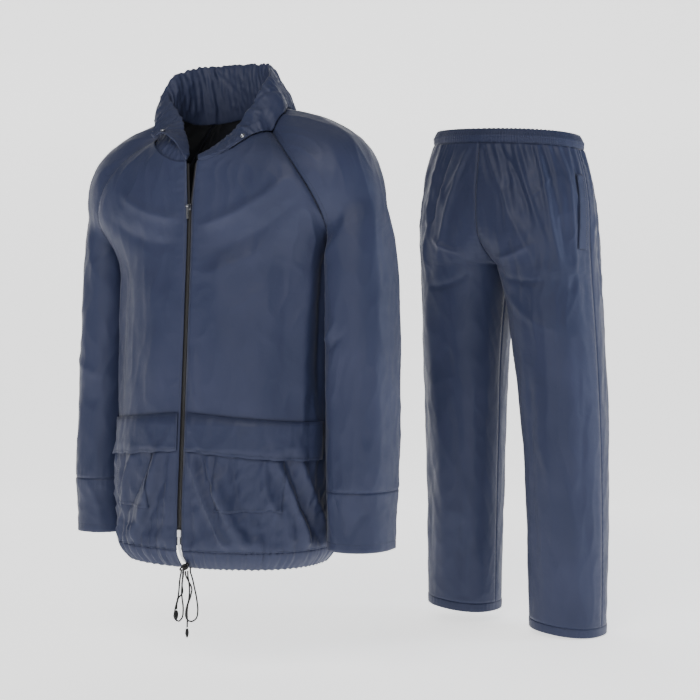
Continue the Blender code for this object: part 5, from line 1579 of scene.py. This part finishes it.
def build_cords(finishes):
    """Two loops and two tails of round braid from one knot, with frayed ends."""
    turned = Matrix.Rotation(JACKET_TURN, 4, "Z")
    knot_at = turned @ Vector(KNOT)
    wound_knot(knot_at, finishes)
    for name, route, looped in (
        ("left", CORD_LEFT, True),
        ("right", CORD_RIGHT, True),
        ("tail_left", CORD_TAIL_LEFT, False),
        ("tail_right", CORD_TAIL, False),
    ):
        line = [under_knot(turned, route[0]), *route]
        if looped:
            line.append(under_knot(turned, route[-1]))
        points = smooth_route(line, 40 if looped else 24)
        curve = bpy.data.curves.new("drawcord_" + name, "CURVE")
        curve.dimensions = "3D"
        curve.bevel_depth = CORD / 2
        curve.bevel_resolution = 5
        curve.use_fill_caps = True
        spline = curve.splines.new("POLY")
        spline.points.add(len(points) - 1)
        for spot, point in zip(spline.points, points):
            spot.co = (*point, 1.0)
        nodes = ["jacket_drawcord_" + name]
        made = link("drawcord_" + name, curve, [finishes["braid"]], nodes)
        on_it = []
        if not looped:
            foot = route[-1]
            end = Vector((foot.x, foot.y, foot.z - CORD_END_RADII[2] - END_GAP))
            on_it = [frayed_end("drawcord_end_" + name[5:], end, finishes)]


def tube_along(points, radius, sides):
    """Points and faces of a round tube along a line, closed at its ends."""
    points = np.asarray(points, float)
    ahead = np.gradient(points, axis=0)
    ahead /= np.linalg.norm(ahead, axis=1, keepdims=True)
    side = np.cross(ahead, (0.13, 0.31, 0.94))
    side /= np.linalg.norm(side, axis=1, keepdims=True)
    other = np.cross(ahead, side)
    angle = np.linspace(0, 2 * math.pi, sides, endpoint=False)
    radius = np.broadcast_to(radius, len(points))
    rings = points[:, None] + radius[:, None, None] * (
        side[:, None] * np.cos(angle)[None, :, None] + other[:, None] * np.sin(angle)[None, :, None]
    )
    return rings.reshape(-1, 3), ring_faces(len(points), sides)


def join_tubes(name, tubes, finish):
    """One braid piece made of several tubes, in place of the node of its name."""
    points = []
    faces = []
    for tube_points, tube_faces in tubes:
        base = sum(len(part) for part in points)
        points.append(tube_points)
        faces += [tuple(k + base for k in face) for face in tube_faces]
    mesh = bpy.data.meshes.new(name)
    mesh.from_pydata(np.concatenate(points).tolist(), [], faces)
    mesh.shade_smooth()
    return link(name, mesh, [finish], ["jacket_" + name])


def wound_knot(at, finishes):
    """An overhand knot: the cord wound twice round itself."""
    turn = np.linspace(0, 3 * 2 * math.pi, 150)
    wide = KNOT_RADII[0] - CORD * 0.62
    line = np.stack(
        [
            wide * np.cos(turn / 3 * 2) * (0.75 + 0.25 * np.cos(turn)),
            (KNOT_RADII[1] - CORD * 0.5) * np.sin(turn),
            (KNOT_RADII[2] - CORD * 0.5) * np.sin(turn / 3 * 2 + 0.6),
        ],
        axis=-1,
    )
    line = to_jacket(line) + np.array(at)
    places = np.linspace(-0.5, 0.5, 9) * KNOT_RADII[0]
    core = np.array([to_jacket((x, 0, 0)) for x in places]) + np.array(at)
    swell = CORD * 1.2 * np.sqrt(np.clip(1 - np.linspace(-1, 1, 9) ** 2, 0.15, 1))
    tubes = [tube_along(line, CORD / 2, 10), tube_along(core, swell, 12)]
    join_tubes("drawcord_knot", tubes, finishes["braid"])


def frayed_end(name, at, finishes):
    """The cord's end, opened into a short brush of fibres."""
    pick = np.random.default_rng(61)
    down = np.linspace(1, -1, 14)
    swell = CORD_END_RADII[0] * 0.72 * np.sqrt(np.clip(1 - (down * 0.96) ** 2, 0.03, 1))
    core = np.array([(0, 0, CORD_END_RADII[2] * share * 0.92) for share in down]) + np.array(at)
    tubes = [tube_along(core, swell, 12)]
    for _ in range(34):
        turn = pick.uniform(0, 2 * math.pi)
        reach = CORD_END_RADII[0] * pick.uniform(0.55, 0.98)
        start = pick.uniform(0.2, 0.8)
        steps = np.linspace(0, 1, 9)
        out = reach * np.sin(math.pi * (0.25 + 0.6 * steps))
        high = CORD_END_RADII[2] * (start - (start + pick.uniform(0.4, 0.98)) * steps)
        line = np.stack([out * math.cos(turn), out * math.sin(turn), high], axis=-1) + np.array(at)
        tubes.append(tube_along(line, 0.00028 * (1.1 - 0.7 * steps), 5))
    return join_tubes(name, tubes, finishes["braid"])


def build_jacket(finishes):
    """All the jacket's cloth, collar, studs, stitches and zip."""
    left = shape_front(FRONT_LEFT_CREASES, 11, False)
    right = shape_front(FRONT_RIGHT_CREASES, 21, True)
    back = shape_back()
    sleeve_left = shape_sleeve(SLEEVE_LEFT, 0.0, SLEEVE_LEFT_CREASES, 71, False)
    sleeve_right = shape_sleeve(SLEEVE_RIGHT, RIGHT_PULL, SLEEVE_RIGHT_CREASES, 81, True)
    cuff_left = shape_cuff(SLEEVE_LEFT, CUFF_LEFT_CREASES, 91, False)
    cuff_right = shape_cuff(SLEEVE_RIGHT, CUFF_RIGHT_CREASES, 95, True)
    hem = shape_hem_band()
    pieces = (
        ("front_left", left, "hung"),
        ("front_right", right, "hung"),
        ("back", back, "hung"),
        ("sleeve_left", sleeve_left, "hung"),
        ("sleeve_right", sleeve_right, "hung"),
        ("cuff_left", cuff_left, "hung"),
        ("cuff_right", cuff_right, "hung"),
        ("hem_band", hem, "gathered"),
    )
    for name, cloth, held in pieces:
        sew_cloth("cloth_" + name, cloth, to_jacket, finishes, ["jacket_" + name])
    laid = {}
    for side, front, seed in (("left", left, 101), ("right", right, 111)):
        mirror = side == "right"
        laid["flap_" + side] = laid_cloth(
            front, (FLAP_FROM, FLAP_TO), flap_bottom, flap_top, FLAP_CLEAR, FLAP_FLARE, FLAP_CREASES,
            seed, mirror,
        )
        laid["pocket_" + side] = laid_cloth(
            front, (BAG_FROM, BAG_TO), bag_bottom, bag_top, BAG_CLEAR, 0.0, (), seed + 5, mirror
        )
    for name, cloth in laid.items():
        sew_cloth("cloth_" + name, cloth, to_jacket, finishes, ["jacket_" + name])

    plain_front = front_grid()
    plain_back = back_grid()
    plain_sleeve = sleeve_grid(SLEEVE_LEFT, 0.0)
    seam = neck_seam(plain_front, plain_sleeve, plain_back)
    plain_right = sleeve_grid(SLEEVE_RIGHT, RIGHT_PULL) * (-1, 1, 1)
    below = cloth_below([plain_front, plain_front * (-1, 1, 1), plain_back, plain_sleeve, plain_right])
    rings, normal = build_collar(seam, below, finishes)
    build_studs(seam, below, finishes)

    stitches = Stitches()
    cap = slice(BODY_ROWS + 1, BODY_ROWS + CAP_ROWS)
    sleeve_cap = slice(SLEEVE_ROWS + 1, SLEEVE_ROWS + CAP_ROWS)
    for cloth in (left, right):
        stitches.row(*inset_line(cloth, "last", 0.003, cap))
        stitches.row(*inset_line(cloth, "first", 0.004))
        stitches.row(*inset_line(cloth, "bottom", 0.002))
    for side in ("first", "last"):
        stitches.row(*inset_line(back, side, 0.003, cap))
        for sleeve in (sleeve_left, sleeve_right):
            for inset in (0.003, 0.009):
                stitches.row(*inset_line(sleeve, side, inset, sleeve_cap))
    for cuff in (cuff_left, cuff_right):
        stitches.row(*inset_line(cuff, "bottom", GROOVE))
        stitches.row(*inset_line(cuff, "top", 0.003))
    stitches.row(*inset_line(hem, "top", 0.003))
    for name, cloth in laid.items():
        sides = ("first", "last", "bottom") if "pocket" in name else ("first", "last", "bottom", "top")
        for side in sides:
            stitches.row(*inset_line(cloth, side, 0.004))
    stitches.row(rings[:, 3], normal[:, 3])
    stitches.make("jacket_stitches", finishes["thread"], to_jacket)
    build_zip(finishes)


def gathers(cloth, u, seed):
    """Uneven pleats that run down from the elastic waistband and die out at different heights."""
    drop = np.clip(WAIST_SEAM - cloth.grid[..., 2], 0, None)
    reach = 0.060 + 0.035 * np.sin(u / 0.013 + seed) + 0.020 * np.sin(u / 0.0047 + 2 * seed)
    reach = np.clip(reach, 0.020, 0.120)
    fine = uneven_wave(u, seed, 0.0085) * np.exp(-((drop / (reach * 0.55)) ** 2))
    broad = uneven_wave(u + 0.03 * drop, seed + 1, 0.021) * np.exp(-((drop / (reach * 1.5)) ** 2))
    return 0.0012 * fine + 0.0027 * broad


def leg_heights():
    """Shares of the leg's length, closer together above the crotch."""
    upper = np.linspace(0, CROTCH_STEP, LEG_UPPER_ROWS + 1)
    return np.concatenate([upper, np.linspace(CROTCH_STEP, 1, LEG_LOWER_ROWS + 1)[1:]])


def shape_leg(face, creases, seed, mirror):
    """The front or back panel of a leg with its creases and pleats."""
    if face == "front":
        first_turn, inner, outer, sign = -1, "first", "last", -1
    else:
        first_turn, inner, outer, sign = 0, "last", "first", 1
    turn = np.linspace(first_turn, first_turn + 1, LEG_STEPS + 1)
    cloth = Cloth(np.array([leg_row(step, turn) for step in leg_heights()]), (LEG_MIDDLE, 0))
    u = sign * cloth.edge(outer)
    v = cloth.grid[..., 2]
    upper = (sign * 0.02, sign * 0.23)
    lower = (sign * 0.02, sign * 0.20)
    small = scattered(seed, 34, upper, (-0.05, -0.30), 0.1 * sign, 0.07, 0.0060, 0.0022)
    small += scattered(seed + 1, 26, lower, (-0.30, -0.85), 0.0, 0.16, 0.012, 0.0016)
    height = crease_height(creases, u, v) + crease_height(small, u, v)
    height += 0.0008 * crumpled(u, v, seed + 2, 0.055, (0.7, 1.9))
    ends = rounded_step(cloth.edge("top") / EDGE_FADE) * rounded_step(cloth.edge("bottom") / 0.003)
    height *= ends * cloth.fade(("first", "last"))
    near_sides = rounded_step(cloth.edge(outer) / 0.01) * rounded_step(cloth.edge(inner) / 0.01)
    near_bottom = rounded_step(cloth.edge("bottom") / 0.002 + 0.3)
    height += gathers(cloth, u, seed + 3) * near_sides * near_bottom
    height += pucker(cloth.up, cloth.edge(inner), seed + 5, 0.012, 0.0009)
    height += pucker(cloth.up, cloth.edge(outer), seed + 6, 0.016, 0.0007)
    cloth.push(height)
    return cloth.finished(mirror)


def shape_waistband():
    """The elastic waistband with its ribs and sewn rows."""
    angle = 2 * math.pi * np.arange(WAIST_STEPS + 1) / WAIST_STEPS
    rows = []
    levels, bulges = zip(*WAIST_BULGE)
    for z in np.linspace(WAIST_SEAM, WAIST_TOP, WAIST_ROWS + 1):
        bulge = float(np.interp(z, levels, bulges))
        x = (WAIST_HALF_WIDTH + bulge) * power(np.cos(angle), ROUND)
        y = (WAIST_HALF_DEPTH + bulge) * power(np.sin(angle), ROUND)
        rows.append(np.stack([x, y, np.full_like(x, z)], axis=-1))
    cloth = Cloth(np.array(rows), (0, 0))
    share = np.linspace(0, 1, WAIST_ROWS + 1)[:, None]
    at = angle[None, :] * WAIST_RIBS / (2 * math.pi)
    swell = 0.75 + 0.25 * np.sin(angle * 23 + 1) * np.sin(angle * 9)
    rib = np.abs(np.sin(math.pi * at + 0.35 * np.sin(angle * 31))) ** 0.7 * swell
    sewn_rows = (0.08, 0.36, 0.64, 0.92)
    sewn = sum(np.exp(-(((share - place) / 0.035) ** 2)) for place in sewn_rows)
    arched = np.sin(math.pi * np.clip(share, 0.06, 0.94)) ** 0.4
    height = 0.0016 * rib * (1 - 0.6 * sewn) * arched
    cloth.push(height - 0.0004)
    cloth.grid[-1, :, 2] += 0.0006 * uneven_wave(angle * 0.13, 132, 0.008)
    cloth.grid[:, -1] = cloth.grid[:, 0]
    return cloth.finished(False)


def shape_leg_hem(mirror, seed):
    """The turned hem at a leg's end."""
    turn = np.linspace(-1, 1, 2 * LEG_STEPS + 1)
    top = leg_row(1.0, turn)
    rows = []
    for z in np.linspace(LEG_BOTTOM, float(top[0, 2]), SHAPE_ROWS):
        row = top.copy()
        row[:, 2] = z
        rows.append(row)
    cloth = Cloth(np.array(rows), (LEG_HEM_MIDDLE, 0))
    height = pucker(cloth.across, cloth.edge("top"), seed, 0.010, 0.0007)
    height *= ring_fade(cloth)
    cloth.push(height)
    return cloth.finished(mirror)


def shape_welt(mirror):
    """The side pocket's stitched welt, laid on the front beside the side seam."""
    rows = []
    for step in np.linspace(*WELT_STEPS, 50):
        ends = leg_row(step, np.array(WELT_TURNS))
        run = ends[1] - ends[0]
        out = np.array([-run[1], run[0], 0.0]) / np.hypot(run[0], run[1])
        moved = ends + out * math.copysign(WELT_CLEAR, out @ (ends[0] * (1, 1, 0)))
        share = np.linspace(0, 1, SHAPE_ROWS)[:, None]
        rows.append(moved[0] * (1 - share) + moved[1] * share)
    cloth = Cloth(np.array(rows), (LEG_MIDDLE, 0))
    edge = np.minimum(cloth.edge("first"), cloth.edge("last"))
    cloth.push(0.0004 * rounded_step(edge / 0.004) * (1 + uneven_wave(cloth.up, 141, 0.02)))
    return cloth.finished(mirror)


def build_trousers(finishes):
    """All the trousers' cloth and stitches."""
    legs = {
        "front_left": shape_leg("front", LEG_FRONT_LEFT_CREASES, 151, False),
        "front_right": shape_leg("front", LEG_FRONT_RIGHT_CREASES, 161, True),
        "back_left": shape_leg("back", LEG_BACK_CREASES, 171, False),
        "back_right": shape_leg("back", LEG_BACK_CREASES, 181, True),
    }
    hems = {"hem_left": shape_leg_hem(False, 191), "hem_right": shape_leg_hem(True, 192)}
    waist = shape_waistband()
    for name, cloth in {**legs, **hems}.items():
        sew_cloth("cloth_trousers_" + name, cloth, to_trousers, finishes, ["trousers_" + name])
    sew_cloth("cloth_waistband", waist, to_trousers, finishes, ["trousers_waistband"])
    for side in ("left", "right"):
        welt = shape_welt(side == "right")
        sew_cloth("cloth_welt_" + side, welt, to_trousers, finishes, ["trousers_welt_" + side])
        legs["welt_" + side] = welt

    stitches = Stitches()
    for name in ("hem_left", "hem_right"):
        stitches.row(*inset_line(hems[name], "top", 0.002))
    for name in ("front_left", "front_right"):
        upper = slice(1, LEG_UPPER_ROWS)
        stitches.row(*inset_line(legs[name], "first", 0.003, upper))
    for side in ("left", "right"):
        for edge in ("first", "last", "top"):
            stitches.row(*inset_line(legs["welt_" + side], edge, 0.0015))
    for row in (2, 9, 16, 22):
        stitches.row(waist.grid[row], waist.normal[row])
    stitches.make("trousers_stitches", finishes["thread"], to_trousers)


def build_stage():
    """A pale, evenly lit floor that curves up into the wall behind."""
    sweep = [(COVE_FRONT, FLOOR_Z), (COVE_BACK, FLOOR_Z)]
    for share in np.linspace(0, 1, 25)[1:]:
        turn = share * math.pi / 2
        back = COVE_BACK + COVE_BEND * math.sin(turn)
        sweep.append((back, FLOOR_Z + COVE_BEND * (1 - math.cos(turn))))
    sweep.append((COVE_BACK + COVE_BEND, COVE_TOP))
    points = [(x, y, z) for y, z in sweep for x in (-COVE_HALF_WIDTH, COVE_HALF_WIDTH)]
    faces = [(2 * k, 2 * k + 1, 2 * k + 3, 2 * k + 2) for k in range(len(sweep) - 1)]
    mesh = bpy.data.meshes.new("studio_cove")
    mesh.from_pydata(points, [], faces)
    mesh.shade_smooth()
    glow = {"IOR": 1.45, "Emission Color": linear("#FFFFFF"), "Emission Strength": COVE_GLOW}
    paint = mottled("matt_emulsion_paint", STAGE_WHITE, "#F3F3F2", glow, 2.0, (0.85, 0.95), 0.0001)
    mesh.materials.append(paint)
    cove = bpy.data.objects.new("studio_cove", mesh)
    bpy.context.scene.collection.objects.link(cove)


def add_softbox(name, at, size, energy, colour):
    """A soft light that faces the suit."""
    light = bpy.data.lights.new(name, "AREA")
    light.shape = "RECTANGLE"
    light.size, light.size_y = size
    light.energy = energy
    light.color = linear(colour)[:3]
    made = bpy.data.objects.new(name, light)
    made.location = at
    towards = Vector(SUIT_MIDDLE) - Vector(at)
    made.rotation_euler = towards.to_track_quat("-Z", "Y").to_euler()
    bpy.context.scene.collection.objects.link(made)


def build_studio():
    """A weak surround, a key light, a cool side light and a top light, and the camera."""
    world = bpy.data.worlds.new("bright_surround")
    world.use_nodes = True
    surround = world.node_tree.nodes["Background"]
    surround.inputs["Color"].default_value = linear("#FFFFFF")
    surround.inputs["Strength"].default_value = SURROUND
    bpy.context.scene.world = world
    add_softbox("key_softbox", (-0.7, -3.0, 2.0), (2.2, 1.8), 105.0, "#FFFCF8")
    add_softbox("side_strip", (2.9, 0.2, 0.1), (0.9, 2.6), 34.0, "#D4E2FF")
    add_softbox("top_softbox", (0.2, 0.6, 2.6), (2.6, 2.0), 8.0, "#FFFFFF")
    lens = bpy.data.cameras.new("photo_camera")
    lens.lens = CAMERA_LENS
    camera = bpy.data.objects.new("photo_camera", lens)
    camera.location = CAMERA_AT
    camera.rotation_euler = (math.pi / 2, 0.0, 0.0)
    bpy.context.scene.collection.objects.link(camera)
    bpy.context.scene.camera = camera


def finish_kept_nodes(finishes):
    """The zip's moulded and plated parts keep their solids and get their real finish."""
    for name, finish in (
        ("jacket_zip_slider", "metal"),
        ("jacket_zip_pull", "metal"),
        ("jacket_zip_box", "white"),
    ):
        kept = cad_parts[name]
        if not kept.material_slots:
            kept.data.materials.append(None)
        for slot in kept.material_slots:
            slot.link = "OBJECT"
            slot.material = finishes[finish]


def main():
    """Builds the studio, the finishes and the suit."""
    build_studio()
    build_stage()
    finishes = make_finishes()
    build_cords(finishes)
    build_jacket(finishes)
    build_trousers(finishes)
    finish_kept_nodes(finishes)


main()
